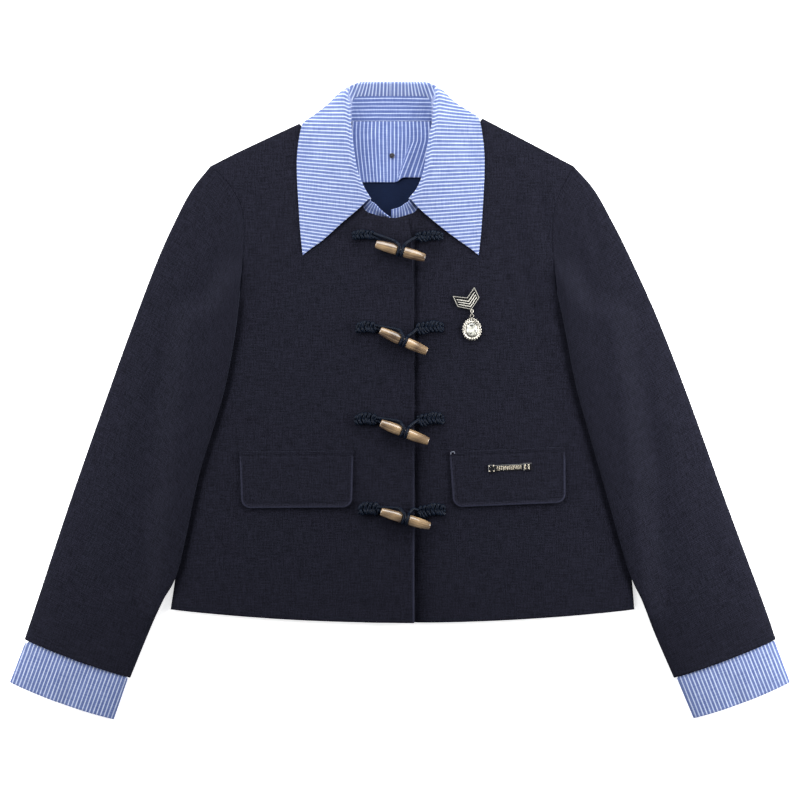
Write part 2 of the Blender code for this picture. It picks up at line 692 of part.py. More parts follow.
def make_cuff(side, mouth, wrist):
    """A shirt cuff set inside the sleeve's end, of which about 45 mm shows."""
    sections = np.array(CUFF_SECTIONS)
    outer_run = np.array(wrist[:2]) - mouth[:2]
    inner_run = np.array(wrist[2:]) - mouth[2:]
    share = (sections[:, 0] / sections[-1, 0])[:, None]
    across = np.array(mouth[2:]) - mouth[:2]
    across /= np.linalg.norm(across)
    outer = mouth[:2] + share * outer_run + sections[:, 1:2] * across
    inner = mouth[2:] + share * inner_run - sections[:, 1:2] * across
    shares = crowded(SPANS_ARMHOLE - 1)
    bow = 4 * shares * (1 - shares)
    run = outer_run / np.linalg.norm(outer_run)
    plan = outer[:, None] + shares[None, :, None] * (inner - outer)[:, None]
    plan = plan + (CUFF_BOW * np.maximum(share, 0) * bow)[..., None] * run
    margin = (SHIRTING / np.linalg.norm(inner - outer, axis=1))[:, None]
    narrow = margin + shares * (1 - 2 * margin)
    inside = outer[:, None] + narrow[..., None] * (inner - outer)[:, None]
    inside = inside + (CUFF_BOW * np.maximum(share, 0) * bow)[..., None] * run
    floor, height = sections[:, 2:3], sections[:, 3:4]
    edge = np.minimum(CUFF_EDGE, height / 2)
    flat_tube(
        f"cuff_{side}", (plan, plan), (inside, inside), (floor, floor), (height,), edge, SHIRTING,
        shares, "striped_shirting",
    )


# ---------------------------------------------------------------- collar


def collar_section(row):
    """Ten points of the collar across one section, from the stand's top round to its edge."""
    _, _, top, ridge, edge, under = row
    top, ridge, edge = np.array(top), np.array(ridge), np.array(edge)
    if under is None:
        end, shares = edge, np.array(RUN_OPEN)
    else:
        under = np.array((*under, UNDERSIDE_Z))
        out = (edge - ridge) * (1, 1, 0)
        reach = min(FOLD_ROUND, 0.5 * np.linalg.norm(out))
        out *= reach / np.linalg.norm(out)
        back = (under - edge) * (1, 1, 0)
        back *= min(FOLD_ROUND / np.linalg.norm(back), 0.6)
        drop = (0, 0, edge[2] - UNDERSIDE_Z)
        turn = np.vstack([
            edge - out, edge - 0.2 * out - np.multiply(drop, 0.25),
            edge + 0.2 * back - np.multiply(drop, 0.75), edge + back - drop, under,
        ])
        end, shares = edge - out, np.array(RUN_FOLDED)
    run = ridge + shares[:, None] * (end - ridge)
    run[:, 2] = end[2] + (ridge[2] - end[2]) * (1 - shares) ** 1.5
    return np.vstack([top, ridge, run] if under is None else [top, ridge, run, turn])


def mirrored(rows, sign):
    """Rows of (h, y, z) points placed on one side of the collar's middle."""
    rows = np.array(rows, float)
    rows[..., 1] += sign * COLLAR_TILT * ramp(rows[..., 0], 45, 90) * ramp(rows[..., 1], 240, 300)
    rows[..., 0] = COLLAR_X + sign * rows[..., 0]
    return rows


def whole_collar(rows):
    """Sections of one side carried on round the back of the neck to the other side."""
    return np.concatenate([mirrored(rows, -1), mirrored(rows, 1)[-2::-1]])


def halved(sections):
    """Sections with one more between each two."""
    return between_rows(sections, np.arange(2 * len(sections) - 1) / 2)


def make_collar():
    """The folded collar: two leaves that lie on the fronts, joined by a part behind the neck."""
    grid = halved(whole_collar([collar_section(row) for row in COLLAR]))
    count = len(grid)
    place = np.minimum(np.arange(count), count - 1 - np.arange(count)) / 2
    open_rows = sum(row[5] is None for row in COLLAR) - 1
    on_front = body_top(grid[..., :2]) + SEAM + SHIRTING / 2 + 0.15
    over_front = (place[:, None] <= open_rows) | (np.arange(grid.shape[1]) < 6)
    over_front &= (place[:, None] <= open_rows + 2) & (np.arange(grid.shape[1]) > 1)
    grid[..., 2] = np.where(over_front, np.maximum(grid[..., 2], on_front), grid[..., 2])
    grid[..., 2] = np.maximum(grid[..., 2], UNDERSIDE_Z)
    faces = offset_both_ways(grid, SHIRTING)
    for face in faces:
        face[..., 2] = np.maximum(face[..., 2], 0.0)
    wall("collar_fall", *faces, "striped_shirting")


def make_stand():
    """The band that the collar is folded from, open at the middle of the front."""
    rows = list(STAND_ENDS)
    for seam, knee, top, *_ in COLLAR:
        down = np.array(knee) - top
        rows.append((seam, knee, top + down / np.linalg.norm(down) * STAND_GAP))
    rows = [(seam, knee, (np.array(knee) + top) / 2, top) for seam, knee, top in rows]
    grid = halved(whole_collar(rows))
    wall("collar_stand", *offset_both_ways(grid, SHIRTING), "striped_shirting")


def make_dickey():
    """The flap below the stand, lying on the inside of the back."""
    across = np.linspace(-1, 1, DICKEY_COLUMNS + 1)
    low, step, step_x, step_width = DICKEY_STEP
    plan = np.stack([np.stack([COLLAR_X + half * across, np.full(len(across), y)], -1)
                     for y, half in DICKEY])
    plan[-1, :, 1] += low + step * ramp(plan[-1, :, 0], step_x, step_x + step_width)
    lower = back_top(plan) + DICKEY_GAP
    wall("dickey_flap", with_height(plan, lower + DICKEY_CLOTH), with_height(plan, lower),
         "striped_shirting")
    height = float(back_top(np.array(SNAP_PLACE))) + DICKEY_GAP + DICKEY_CLOTH + SEAM + 0.2
    upright = ((0, 0, 1), (1, 0, 0), (0, 1, 0))
    outline = ((0, SNAP_RADIUS), (0.5, SNAP_RADIUS), (SNAP_HEIGHT, 0.55 * SNAP_RADIUS))
    turned("snap", outline, ROUND_SIDES // 2, "silver", (*SNAP_PLACE, height), upright)


# ---------------------------------------------------------------- flaps and fastenings


def flap_plan(side):
    """A flap's plan: straight sides that end in rounded lower corners."""
    place, degrees, width, depth = FLAPS[side]
    turn = np.radians([0, 22.5, 45, 67.5, 90])
    depths = np.concatenate([[0, 17, 34], depth - FLAP_CORNER + FLAP_CORNER * np.sin(turn)])
    half = width / 2 - FLAP_TAPER * depths / depth
    half[3:] -= FLAP_CORNER * (1 - np.cos(turn))
    across = np.linspace(-1, 1, 15)
    x = half[:, None] * across
    return turn_plan(np.stack([x, np.broadcast_to(-depths[:, None], x.shape)], -1), degrees, place)


def flap_under(plan):
    return body_top(plan) + SEAM


def make_flap(side):
    plan = flap_plan(side)
    lower = flap_under(plan)
    wall(f"flap_{side}", with_height(plan, lower + FLAP_CLOTH), with_height(plan, lower),
         "navy_wool")


def make_frog(name, place, degrees, length):
    """The flat braid that a cord's ends are sewn into: a slab with round ends."""
    radius = FROG_WIDTH / 2
    x = length / 2 - radius * np.array([0, 0.3, 1])
    x = np.concatenate([-x, [0], x[::-1]])
    half = radius * np.array([0.45, 0.8, 1, 1, 1, 0.8, 0.45])
    plan = turn_plan(np.stack([np.stack([x, half], -1), np.stack([x, -half], -1)]), degrees, place)
    lower = body_top(plan) + SEAM
    wall(name, with_height(plan, lower + FROG_HEIGHT), with_height(plan, lower), "navy_cord")


def make_toggle(number, middle, slope, frog_right, frog_left):
    """A horn toggle with the loop that holds it and the tail that it is tied on by."""
    angle = math.radians(-slope)
    run = np.array((math.cos(angle), math.sin(angle), 0))
    across = np.array((-math.sin(angle), math.cos(angle), 0))
    up = np.array((0, 0, 1.0))
    cloth = float(body_top(np.array((middle[0] - 10, middle[1]))))
    radius = max(r for _, r in TOGGLE_OUTLINE)
    axis_z = cloth + 3 * SEAM + 2 * CORD_RADIUS + radius
    place = np.array((*middle, axis_z))
    outline = [(-d, r) for d, r in TOGGLE_OUTLINE[:0:-1]] + list(TOGGLE_OUTLINE[1:])
    turned(f"toggle_{number}", outline, TOGGLE_SIDES, "horn", place, (run, across, up))

    def placed(points):
        return place + np.asarray(points, float) @ np.array([run, across, up])

    ends = {}
    for side, offset in (("right", frog_right), ("left", frog_left)):
        spot = np.array(middle) + offset
        make_frog(f"frog_{side}_{number}", spot, 3.0, FROG_LENGTH[side])
        ends[side] = spot - SIGN[side] * np.array((FROG_LENGTH[side] / 2 + 1.5, 0))
    level = cloth + SEAM + CORD_RADIUS + 0.3
    upper = np.array((*(ends["right"] + (0, 1.7)), level))
    lower = np.array((*(ends["right"] - (0, 1.8)), level))
    start = np.array((*ends["left"], level))
    loop = np.vstack([upper, placed(LOOP_ABOVE), placed(LOOP_ROUTE), placed(LOOP_BELOW), lower])
    tail = np.vstack([start, placed(TAIL_ABOVE), placed(TAIL_ROUTE)])
    cord(f"loop_{number}", loop, CORD_RADIUS)
    cord(f"tail_{number}", tail, CORD_RADIUS)


def make_bar():
    """A plain bar held by a square clip at each end, on the left flap."""
    top = float(flap_under(np.array(BAR_PLACE))) + FLAP_CLOTH + SEAM
    half = BAR_LENGTH / 2

    def box(name, middle, length, width, height):
        corners = ((-1, -1), (1, -1), (1, 1), (-1, 1))
        outline = [(middle + x * length / 2, y * width / 2) for x, y in corners]
        plate(name, turn_plan(outline, BAR_TURN, BAR_PLACE), top, top + height, "brass")

    box("bar_strip", 0, BAR_LENGTH - 2 * BAR_CLIP - 2 * SEAM, BAR_STRIP, BAR_HEIGHT)
    for number, sign in ((1, -1), (2, 1)):
        box(f"bar_clip_{number}", sign * (half - BAR_CLIP / 2), BAR_CLIP, BAR_CLIP,
            BAR_CLIP_HEIGHT)


# ---------------------------------------------------------------- brooch


def ring_points(centre, radius, wire, first, second):
    """A ring of wire that lies in the plane of the first and second directions."""
    centre, first, second = (np.asarray(value, float) for value in (centre, first, second))
    turn = (np.arange(WIRE_TURNS) * 2 * np.pi / WIRE_TURNS)[:, None, None]
    roll = (np.arange(WIRE_SIDES) * 2 * np.pi / WIRE_SIDES)[None, :, None]
    out = np.cos(turn) * first + np.sin(turn) * second
    points = centre + out * (radius + wire * np.cos(roll))
    points = points + np.cross(first, second) * wire * np.sin(roll)
    index = np.arange(WIRE_TURNS * WIRE_SIDES).reshape(WIRE_TURNS, WIRE_SIDES)
    index = np.vstack([index, index[:1]])
    index = np.hstack([index, index[:, :1]])
    return points.reshape(-1, 3), grid_faces(index)


def unite(piece, name, points, faces, material):
    """Joins a second shape to a piece by a Boolean union."""
    helper = solid(name, points, faces, material)
    helper.hide_render = True
    helper.display_type = "WIRE"
    union = piece.modifiers.new("union", "BOOLEAN")
    union.operation = "UNION"
    union.solver = "EXACT"
    union.object = helper


def make_brooch():
    """A chevron plate with a medallion that hangs from it on a ring."""
    cloth = float(body_top(np.array(BROOCH_PLACE)))
    chevron = (
        (-BROOCH_HALF, BROOCH_WING), (-BROOCH_HALF, -BROOCH_WING), (0, -BROOCH_POINT),
        (BROOCH_HALF, -BROOCH_WING), (BROOCH_HALF, BROOCH_WING), (0, 0),
    )
    outline = turn_plan(chevron, BROOCH_TURN, BROOCH_PLACE)
    ring_radius, ring_wire = RING_SIZE
    middle_z = cloth + SEAM + ring_radius + ring_wire
    bottom = cloth + SEAM
    plate_piece = plate("brooch_plate", outline, bottom, middle_z + 0.2, "black_enamel")
    point = turn_plan((0, -BROOCH_POINT), BROOCH_TURN, BROOCH_PLACE)
    loop_radius, loop_wire = LOOP_HOLE
    hook = np.array((point[0] + 0.4, point[1] - loop_radius - 0.1, middle_z))
    unite(plate_piece, "brooch_loop", *ring_points(hook, loop_radius, loop_wire, (1, 0, 0), (0, 1, 0)),
          "silver")
    ring_middle = hook + (0, -ring_radius, 0)
    points, faces = ring_points(ring_middle, ring_radius, ring_wire, (0, 1, 0), (0, 0, 1))
    solid("jump_ring", points, faces, "silver", pivot=hook)
    eye_radius, eye_wire = EYE_SIZE
    eye = ring_middle + (0, -ring_radius, 0)
    disc = eye + (0, -(eye_radius + MEDALLION_RADIUS), 0)
    upright = ((0, 0, 1), (1, 0, 0), (0, 1, 0))
    outline = [(-MEDALLION_BACK, 0.9 * MEDALLION_RADIUS)] + [(z, r) for r, z in SETTING]
    setting = turned("medallion_setting", outline, ROUND_SIDES, "silver", disc, upright,
                     pivot=ring_middle)
    unite(setting, "medallion_eye", *ring_points(eye, eye_radius, eye_wire, (1, 0, 0), (0, 1, 0)),
          "silver")
    outline = [(z, r) for r, z in STONE]
    turned("medallion_stone", outline, ROUND_SIDES, "crystal", disc, upright, pivot=ring_middle)


# ---------------------------------------------------------------- the whole garment

for old in list(bpy.data.objects):
    bpy.data.objects.remove(old)

make_back()
for one_side in SIGN:
    make_front(one_side)
    make_sleeve(one_side)
    make_flap(one_side)
for cuff_side, mouth_corners, wrist_corners in CUFF_CORNERS:
    make_cuff(cuff_side, mouth_corners, wrist_corners)
make_collar()
make_stand()
make_dickey()
for toggle_number, row in enumerate(TOGGLES, start=1):
    make_toggle(toggle_number, *row)
make_bar()
make_brooch()
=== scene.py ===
"""A cropped navy toggle blazer with a striped shirt collar and cuffs, laid flat on its back.

Sizes are millimetres in the garment's own frame and become metres as each mesh is made: X runs
towards the wearer's left, Y towards the collar, and Z up from the surface that it lies on.
"""

import math

import bpy
import mathutils
import numpy as np
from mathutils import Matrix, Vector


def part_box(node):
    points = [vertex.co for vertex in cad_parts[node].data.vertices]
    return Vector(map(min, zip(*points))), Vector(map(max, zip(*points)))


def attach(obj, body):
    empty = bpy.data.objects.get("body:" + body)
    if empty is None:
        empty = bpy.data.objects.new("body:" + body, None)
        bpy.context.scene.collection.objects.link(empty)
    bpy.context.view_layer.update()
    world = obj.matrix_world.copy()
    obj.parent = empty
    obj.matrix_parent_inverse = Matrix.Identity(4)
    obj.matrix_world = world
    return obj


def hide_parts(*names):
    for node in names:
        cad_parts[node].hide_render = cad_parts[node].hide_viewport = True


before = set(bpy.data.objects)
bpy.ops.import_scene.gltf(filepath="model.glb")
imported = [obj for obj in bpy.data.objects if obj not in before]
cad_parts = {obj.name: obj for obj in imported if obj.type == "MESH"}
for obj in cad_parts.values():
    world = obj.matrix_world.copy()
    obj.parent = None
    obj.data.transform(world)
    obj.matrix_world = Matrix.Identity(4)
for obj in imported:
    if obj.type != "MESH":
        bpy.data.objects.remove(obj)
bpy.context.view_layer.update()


# ---------------------------------------------------------------- back
# One panel of navy worsted twill, cut in one piece from shoulder to hem. It lies flat on the
# surface with the fronts sewn to it at the sides and shoulders, and shows inside the neck.

MM = 0.001  # metres
SIDES = {"right": -1, "left": 1}  # the wearer's, with the sign that x has there
WOOL = 2.0  # the twill with its lining
FINE = 8  # spans of the mesh to each span of the tables below
# The hem's level at the middle, and how much higher it is how far from there
HEM_Y, HEM_RISE, HEM_HALF = -239.8, 14.4, 250.0
# The back's rise over the part of the collar folded behind it, and the y where it starts and ends
COLLAR_LIFT, LIFT_Y = 1.55, (256.0, 287.0)

# Edges of the body: y, x on the wearer's right, x on the wearer's left
SIDE_SEAM = ((-225.7, -247.3, 252.7), (-187.0, -242.0, 249.5), (-110.0, -236.5, 242.5),
             (-20.0, -227.5, 233.0), (75.6, -216.0, 221.4))
ARMHOLE_BACK = ((251.6, -205.2, 187.9), (210.0, -195.0, 183.0), (170.0, -190.0, 181.0),
                (130.0, -193.0, 187.0), (95.0, -203.0, 202.0), (75.6, -216.0, 221.4))
SHOULDERS = {
    "right": ((-205.2, 251.6), (-180.0, 264.6), (-145.0, 281.0), (-108.2, 298.0),
              (-105.4, 294.0), (-80.0, 302.5), (-54.0, 315.0)),
    "left": ((187.9, 252.7), (162.0, 266.3), (126.0, 284.8), (88.6, 303.9), (85.8, 299.4),
             (60.0, 307.5), (34.0, 317.0)),
}
NECK_BACK = ((-54.0, 315.0), (-46.0, 310.5), (-35.0, 307.5), (-20.0, 306.0), (0.0, 306.0),
             (15.0, 307.5), (26.0, 311.0), (34.0, 317.0))


def linear(hex_colour):
    """An sRGB hex colour as linear red, green, blue and full alpha."""
    values = np.array([int(hex_colour[i : i + 2], 16) for i in (1, 3, 5)]) / 255
    values = np.where(values <= 0.04045, values / 12.92, ((values + 0.055) / 1.055) ** 2.4)
    return (*map(float, values), 1.0)


def add_node(material, kind, inputs=None, **settings):
    """Adds a node with its settings. Inputs, by name or number, are each a value or a link."""
    made = material.node_tree.nodes.new("ShaderNode" + kind)
    for name, value in settings.items():
        setattr(made, name, value)
    for key, value in (inputs or {}).items():
        if isinstance(value, bpy.types.NodeSocket):
            material.node_tree.links.new(value, made.inputs[key])
        else:
            made.inputs[key].default_value = value
    return made.outputs


def new_material(name, **values):
    """A material with a Principled shader, whose inputs are given with _ for each space."""
    material = bpy.data.materials.new(name)
    material.use_nodes = True
    shader = material.node_tree.nodes["Principled BSDF"]
    for key, value in values.items():
        shader.inputs[key.replace("_", " ")].default_value = value
    return material


def surfaced(material, **outputs):
    """The material, with these outputs linked to its shader's inputs, which are named likewise."""
    shader = material.node_tree.nodes["Principled BSDF"]
    for key, output in outputs.items():
        material.node_tree.links.new(output, shader.inputs[key.replace("_", " ")])
    return material


def streaks(material, cut, scales, **noise):
    """Noises over the flat cloth, added up: each has its own number of patches to the metre
    across the cloth and along it."""
    total = None
    for scale in scales:
        stretched = add_node(material, "Mapping", {"Vector": cut, "Scale": (*scale, 1)})["Vector"]
        one = add_node(material, "TexNoise", {"Vector": stretched, "Scale": 1.0, **noise},
                       noise_dimensions="2D")["Fac"]
        total = one if total is None else add_node(
            material, "Math", {0: total, 1: one}, operation="ADD")["Value"]
    return total


def navy_wool_twill():
    """Worsted twill, woven from dyed yarn and pressed: a dull dark navy whose warp and weft yarns
    differ a little in depth of colour, with a short nap that lightens it where it turns away."""
    material = new_material(
        "navy_wool_twill", Roughness=0.9, Specular_IOR_Level=0.09, Sheen_Weight=0.12,
        Sheen_Roughness=0.5, Sheen_Tint=linear("#a3b0d0"))
    cut = add_node(material, "UVMap", uv_map="cut")["UV"]
    # Yarns are 0.4 mm apart, too fine to show, so the uneven ones are drawn 1.2 mm wide and 14 mm
    # long both ways, with slubs of 1.3 to 1.6 mm
    yarns = streaks(material, cut, [(1 / across, 1 / along) for across, along in (
        (0.0012, 0.014), (0.014, 0.0012), (0.0015, 0.0015), (0.0013, 0.0016))], Detail=2.0)
    shade = add_node(material, "MapRange", {
        "Value": yarns, "From Min": 1.55, "From Max": 2.45})["Result"]
    colour = add_node(material, "Mix", {0: shade, 6: linear("#03030a"), 7: linear("#171722")},
                      data_type="RGBA")[2]
    # Edges are painted paler, a painted highlight where light would catch their round: each piece
    # gives the amount at its points
    edge_highlight = add_node(material, "Attribute", attribute_name="edge_highlight")["Fac"]
    colour = add_node(material, "Mix", {0: edge_highlight, 6: colour, 7: linear("#3b3d50")},
                      data_type="RGBA")[2]
    # The twill's ribs run up to the right at 60 degrees, 0.9 mm apart
    ribs = add_node(material, "TexWave", {
        "Vector": add_node(material, "Mapping", {"Vector": cut, "Rotation": (0, 0, 0.52)})[0],
        "Scale": 1 / 0.0009 / 20 * math.pi, "Distortion": 0.6, "Detail": 1.0})["Fac"]
    relief = add_node(material, "Math", {0: ribs, 1: shade}, operation="ADD")["Value"]
    bump = add_node(material, "Bump", {"Height": relief, "Strength": 0.35, "Distance": 0.00012})
    return surfaced(material, Base_Color=colour, Normal=bump["Normal"])


wool = navy_wool_twill()


def ramp(value, low, high):
    """0 below low and 1 above high, with a smooth rise between."""
    t = np.clip((np.asarray(value, float) - low) / (high - low), 0, 1)
    return t * t * (3 - 2 * t)


def even(spans):
    """Shares from 0 to 1, equally far apart."""
    return np.linspace(0, 1, spans + 1)


def through(rows, at):
    """Values at fractional row numbers, on cubics that keep each row's slope."""
    rows, at = np.asarray(rows, float), np.clip(np.asarray(at, float), 0, len(rows) - 1)
    slopes = np.gradient(rows, axis=0)
    low = np.minimum(at.astype(int), len(rows) - 2)
    t = (at - low).reshape((-1,) + (1,) * (rows.ndim - 1))
    return (rows[low] * (1 + 2 * t) * (1 - t) ** 2 + slopes[low] * t * (1 - t) ** 2
            + rows[low + 1] * t * t * (3 - 2 * t) + slopes[low + 1] * t * t * (t - 1))


def shares_of(points):
    """Each point's share of its polyline's length."""
    length = np.concatenate([[0.0], np.cumsum(np.linalg.norm(np.diff(points, axis=0), axis=1))])
    return length / length[-1]


def along(points, shares):
    """Points at the given shares of a polyline's length."""
    points = np.asarray(points, float)
    at = shares_of(points)
    return np.stack([np.interp(shares, at, column) for column in points.T], axis=-1)


def smooth(rows, shares):
    """Points at the given shares of the length of a smooth curve through the rows."""
    return along(through(rows, np.linspace(0, len(rows) - 1, 24 * len(rows))), shares)


def split(points, parts):
    """A polyline with each span cut into equal parts, which keeps its corners."""
    points = np.asarray(points, float)
    at = np.arange((len(points) - 1) * parts + 1) / parts
    return np.stack([np.interp(at, np.arange(len(points)), column) for column in points.T], -1)


def joined(*pieces):
    """Polylines that follow each other, with each shared point kept once."""
    return np.concatenate([pieces[0]] + [piece[1:] for piece in pieces[1:]])


def paired(first, second):
    """Two arrays of numbers as one array of pairs."""
    return np.stack(np.broadcast_arrays(first, second), axis=-1)


def side_of(table, side):
    """A table's (x, y) points on one side of the body."""
    return [(row[1 if side == "right" else 2], row[0]) for row in table]


def hem(x):
    """The hem's points at the given x: a shallow arc that is lowest at the middle."""
    x = np.asarray(x, float)
    return paired(x, HEM_Y + HEM_RISE * (x / HEM_HALF) ** 2)


def spanned(start, end, near, far, u, v):
    """A patch between four edges: the straight lines from start to end, plus those from near to
    far, less the plane-like sheet through the four corners."""
    u, v = np.asarray(u)[None, :, None], np.asarray(v)[:, None, None]
    corners = (1 - v) * ((1 - u) * start[0] + u * start[-1]) + v * ((1 - u) * end[0] + u * end[-1])
    lines = (1 - v) * start + v * end + (1 - u) * near[:, None] + u * far[:, None]
    return lines - corners


def lifted(plan, height):
    """Plan points with a height each."""
    return np.concatenate([plan, np.broadcast_to(height, plan.shape[:-1])[..., None]], axis=-1)


def quads(index):
    """Each cell of a grid of numbers as its four corners in turn."""
    cells = (index[:-1, :-1], index[:-1, 1:], index[1:, 1:], index[1:, :-1])
    return np.stack(cells, axis=-1).reshape(-1, 4)


def numbered(rows, columns, closed=False):
    """The numbers of a grid's points. A closed grid's first column follows its last again."""
    index = np.arange(rows * columns).reshape(rows, columns)
    return np.hstack([index, index[:, :1]]) if closed else index


def new_piece(name, points, faces, material, cut=None, flat=False):
    """A mesh at the origin from points in millimetres. Cut is each face corner's place on the flat
    cloth in millimetres, kept in metres as the UV map "cut"."""
    mesh = bpy.data.meshes.new(name)
    mesh.from_pydata((np.asarray(points).reshape(-1, 3) * MM).tolist(), [], faces)
    if cut is not None:
        layer = mesh.uv_layers.new(name="cut")
        layer.data.foreach_set("uv", (cut * MM).astype(np.float32).ravel())
    if not flat:
        mesh.shade_smooth()
    mesh.materials.append(material)
    piece = bpy.data.objects.new(name, mesh)
    bpy.context.scene.collection.objects.link(piece)
    return piece


def new_cloth(name, grid, cut, thickness, material, tube=False, both_ways=False):
    """A sheet over a grid of points, given its thickness below them, or half to each side, and
    round edges. A tube's last column joins its first."""
    faces, points = quads(numbered(*grid.shape[:2], closed=tube)), grid.reshape(-1, 3)
    corners = points[faces]
    normals = np.cross(corners[:, 2] - corners[:, 0], corners[:, 3] - corners[:, 1])
    outwards = corners.mean(axis=1) - points.mean(axis=0) if tube else np.array((0, 0, 1.0))
    place = cut.reshape(-1, 2)[quads(numbered(*cut.shape[:2]))]
    if (normals * outwards).sum() < 0:
        faces, place = faces[:, ::-1], place[:, ::-1]
    piece = new_piece(name, points, faces.tolist(), material, place)
    wall = piece.modifiers.new("wall", "SOLIDIFY")
    wall.thickness = thickness * MM
    wall.offset = 0.0 if both_ways else -1.0
    edge = piece.modifiers.new("edge", "BEVEL")
    edge.width, edge.segments = 0.42 * thickness * MM, 2
    edge.limit_method, edge.angle_limit = "ANGLE", math.radians(55)
    return piece


def back_top(plan):
    """The back lies flat, and rises a little over the part of the collar folded behind it."""
    return WOOL + COLLAR_LIFT * ramp(plan[..., 1], *LIFT_Y)


def mottled(material, dark, light, vector=None, span=(0.0, 1.0), **noise):
    """A noise on the Object coordinates, and the colour that it mixes from two: all dark up to
    the span's first value and all light from its second."""
    if vector is None:
        vector = add_node(material, "TexCoord")["Object"]
    amount = add_node(material, "TexNoise", {"Vector": vector, **noise})["Fac"]
    share = add_node(material, "MapRange", {
        "Value": amount, "From Min": span[0], "From Max": span[1]})["Result"]
    colour = add_node(material, "Mix", {0: share, 6: linear(dark), 7: linear(light)},
                      data_type="RGBA")[2]
    return amount, colour


def acetate_lining():
    """Acetate taffeta: a bluer navy than the wool, with a faint gloss and fine slubs crosswise."""
    material = new_material("navy_acetate_lining", Roughness=0.5, Specular_IOR_Level=0.05)
    stretched = add_node(material, "Mapping", {
        "Vector": add_node(material, "TexCoord")["Object"], "Scale": (150, 1200, 1)})["Vector"]
    _, colour = mottled(material, "#070e1d", "#101a33", stretched, Scale=1.0, Detail=2.0)
    return surfaced(material, Base_Color=colour)


SIDE_LINE = {side: smooth(side_of(SIDE_SEAM, side), even(7 * FINE)) for side in SIDES}
BACK_HOLE = {side: smooth(side_of(ARMHOLE_BACK, side), even(8 * FINE)) for side in SIDES}
back_near, back_far = (joined(SIDE_LINE[side], BACK_HOLE[side][::-1]) for side in SIDES)
back_end = split(joined(SHOULDERS["right"], NECK_BACK, SHOULDERS["left"][::-1]), 6)
back_start = hem(np.linspace(back_near[0, 0], back_far[0, 0], len(back_end)))
back_plan = spanned(back_start, back_end, back_near, back_far, shares_of(back_start),
                    shares_of(back_near))
back = new_cloth("wool_back", lifted(back_plan, back_top(back_plan)), back_plan, WOOL, wool)
# Its inner face is the lining, and its edges and outer face are the wool
back.data.materials.clear()
for material in (acetate_lining(), wool):
    back.data.materials.append(material)
back.modifiers["wall"].material_offset = back.modifiers["wall"].material_offset_rim = 1
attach(back, "garment")
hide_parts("back")


# ---------------------------------------------------------------- fronts
# Two panels of the same twill. The wearer's right laps over the left, and both stand a few
# millimetres off the back away from their seams, with drag lines down from the shoulders.

SEAM = 0.3  # left between any two cloths
AIR, SIDE_ROUND, SHOULDER_ROUND = 3.3, 22.0, 34.0  # height off the back, distance that it takes
EDGE_X = {"right": 15.1, "left": -48.0}
# Flat size and area of each front's cloth, in metres
FRONT_CUT = {"right": ((0.268, 0.556), 0.114), "left": ((0.305, 0.556), 0.132)}
# Ramps in x or y are given by where they start and end. The over front climbs on the under one,
# whose covered part droops.
CLIMB_X, DROOP_X = (-52.0, -24.0), (-22.0, EDGE_X["left"])
# The over front's edge curls up, more so towards the hem, and its lower corner stands off
CURL, CURL_X, CURL_Y = 0.9, (9.0, 14.0), (192.0, 172.0)
LOW_CURL, LOW_CURL_Y = 0.6, (60.0, -160.0)
CORNER, CORNER_X, CORNER_Y = 3.0, (-14.0, 15.0), (-120.0, -232.0)
# The under front sinks beside that edge, more so lower down, with a trough right along it
SINK, SINK_X, SINK_END_X, SINK_Y = 1.0, (4.0, 16.0), (38.0, 18.0), (190.0, 165.0)
LOW_SINK, LOW_SINK_Y = 1.3, (0.0, -80.0)
TROUGH, TROUGH_AWAY, TROUGH_HALF = 2.4, 1.2, 1.9
# More edges of the body, as above, and then each front's neck edge: x, y
ARMHOLE_FRONT = ((251.6, -205.2, 187.9), (241.9, -192.2, 181.4), (226.8, -180.4, 173.7),
                 (208.0, -170.8, 167.0), (180.4, -167.4, 163.7), (150.0, -169.0, 165.4),
                 (117.0, -171.7, 168.5))
ARMHOLE_UNDER = ((117.0, -171.7, 168.5), (98.0, -180.0, 180.0), (84.0, -196.0, 199.0),
                 (75.6, -216.0, 221.4))
NECKS = {
    "right": ((-54.0, 315.0), (-54.0, 290.0), (-48.5, 252.0), (-42.6, 222.0), (-38.0, 205.0),
              (-27.0, 199.6), (-10.0, 195.9), (9.1, 196.6)),
    "left": ((34.0, 317.0), (34.0, 290.0), (28.5, 252.0), (22.6, 222.0), (18.0, 205.0),
             (7.0, 199.2), (-16.0, 193.6), (-48.0, 190.0)),
}
# The sleeves' inner folds, as above. They press the fronts down to both sides of them, up to
# just under the armhole.
SLEEVE_INNER = ((117.0, -171.7, 168.5), (72.4, -177.1, 178.2), (16.2, -187.4, 189.0),
                (-31.3, -200.9, 202.0), (-85.3, -217.1, 217.5), (-181.4, -238.1, 245.2),
                (-216.0, -254.9, 260.3), (-248.4, -270.0, 273.2), (-299.6, -291.0, 295.4))
SLEEVE_PRESS, PRESS_SHARE, PRESS_Y = 6.4, 0.95, (118.0, 84.0)
# The ridge beside each crease: height, distance and half width as shares of the crease's own
RIDGE_HEIGHT, RIDGE_AWAY, RIDGE_HALF = 0.45, 1.9, 1.2
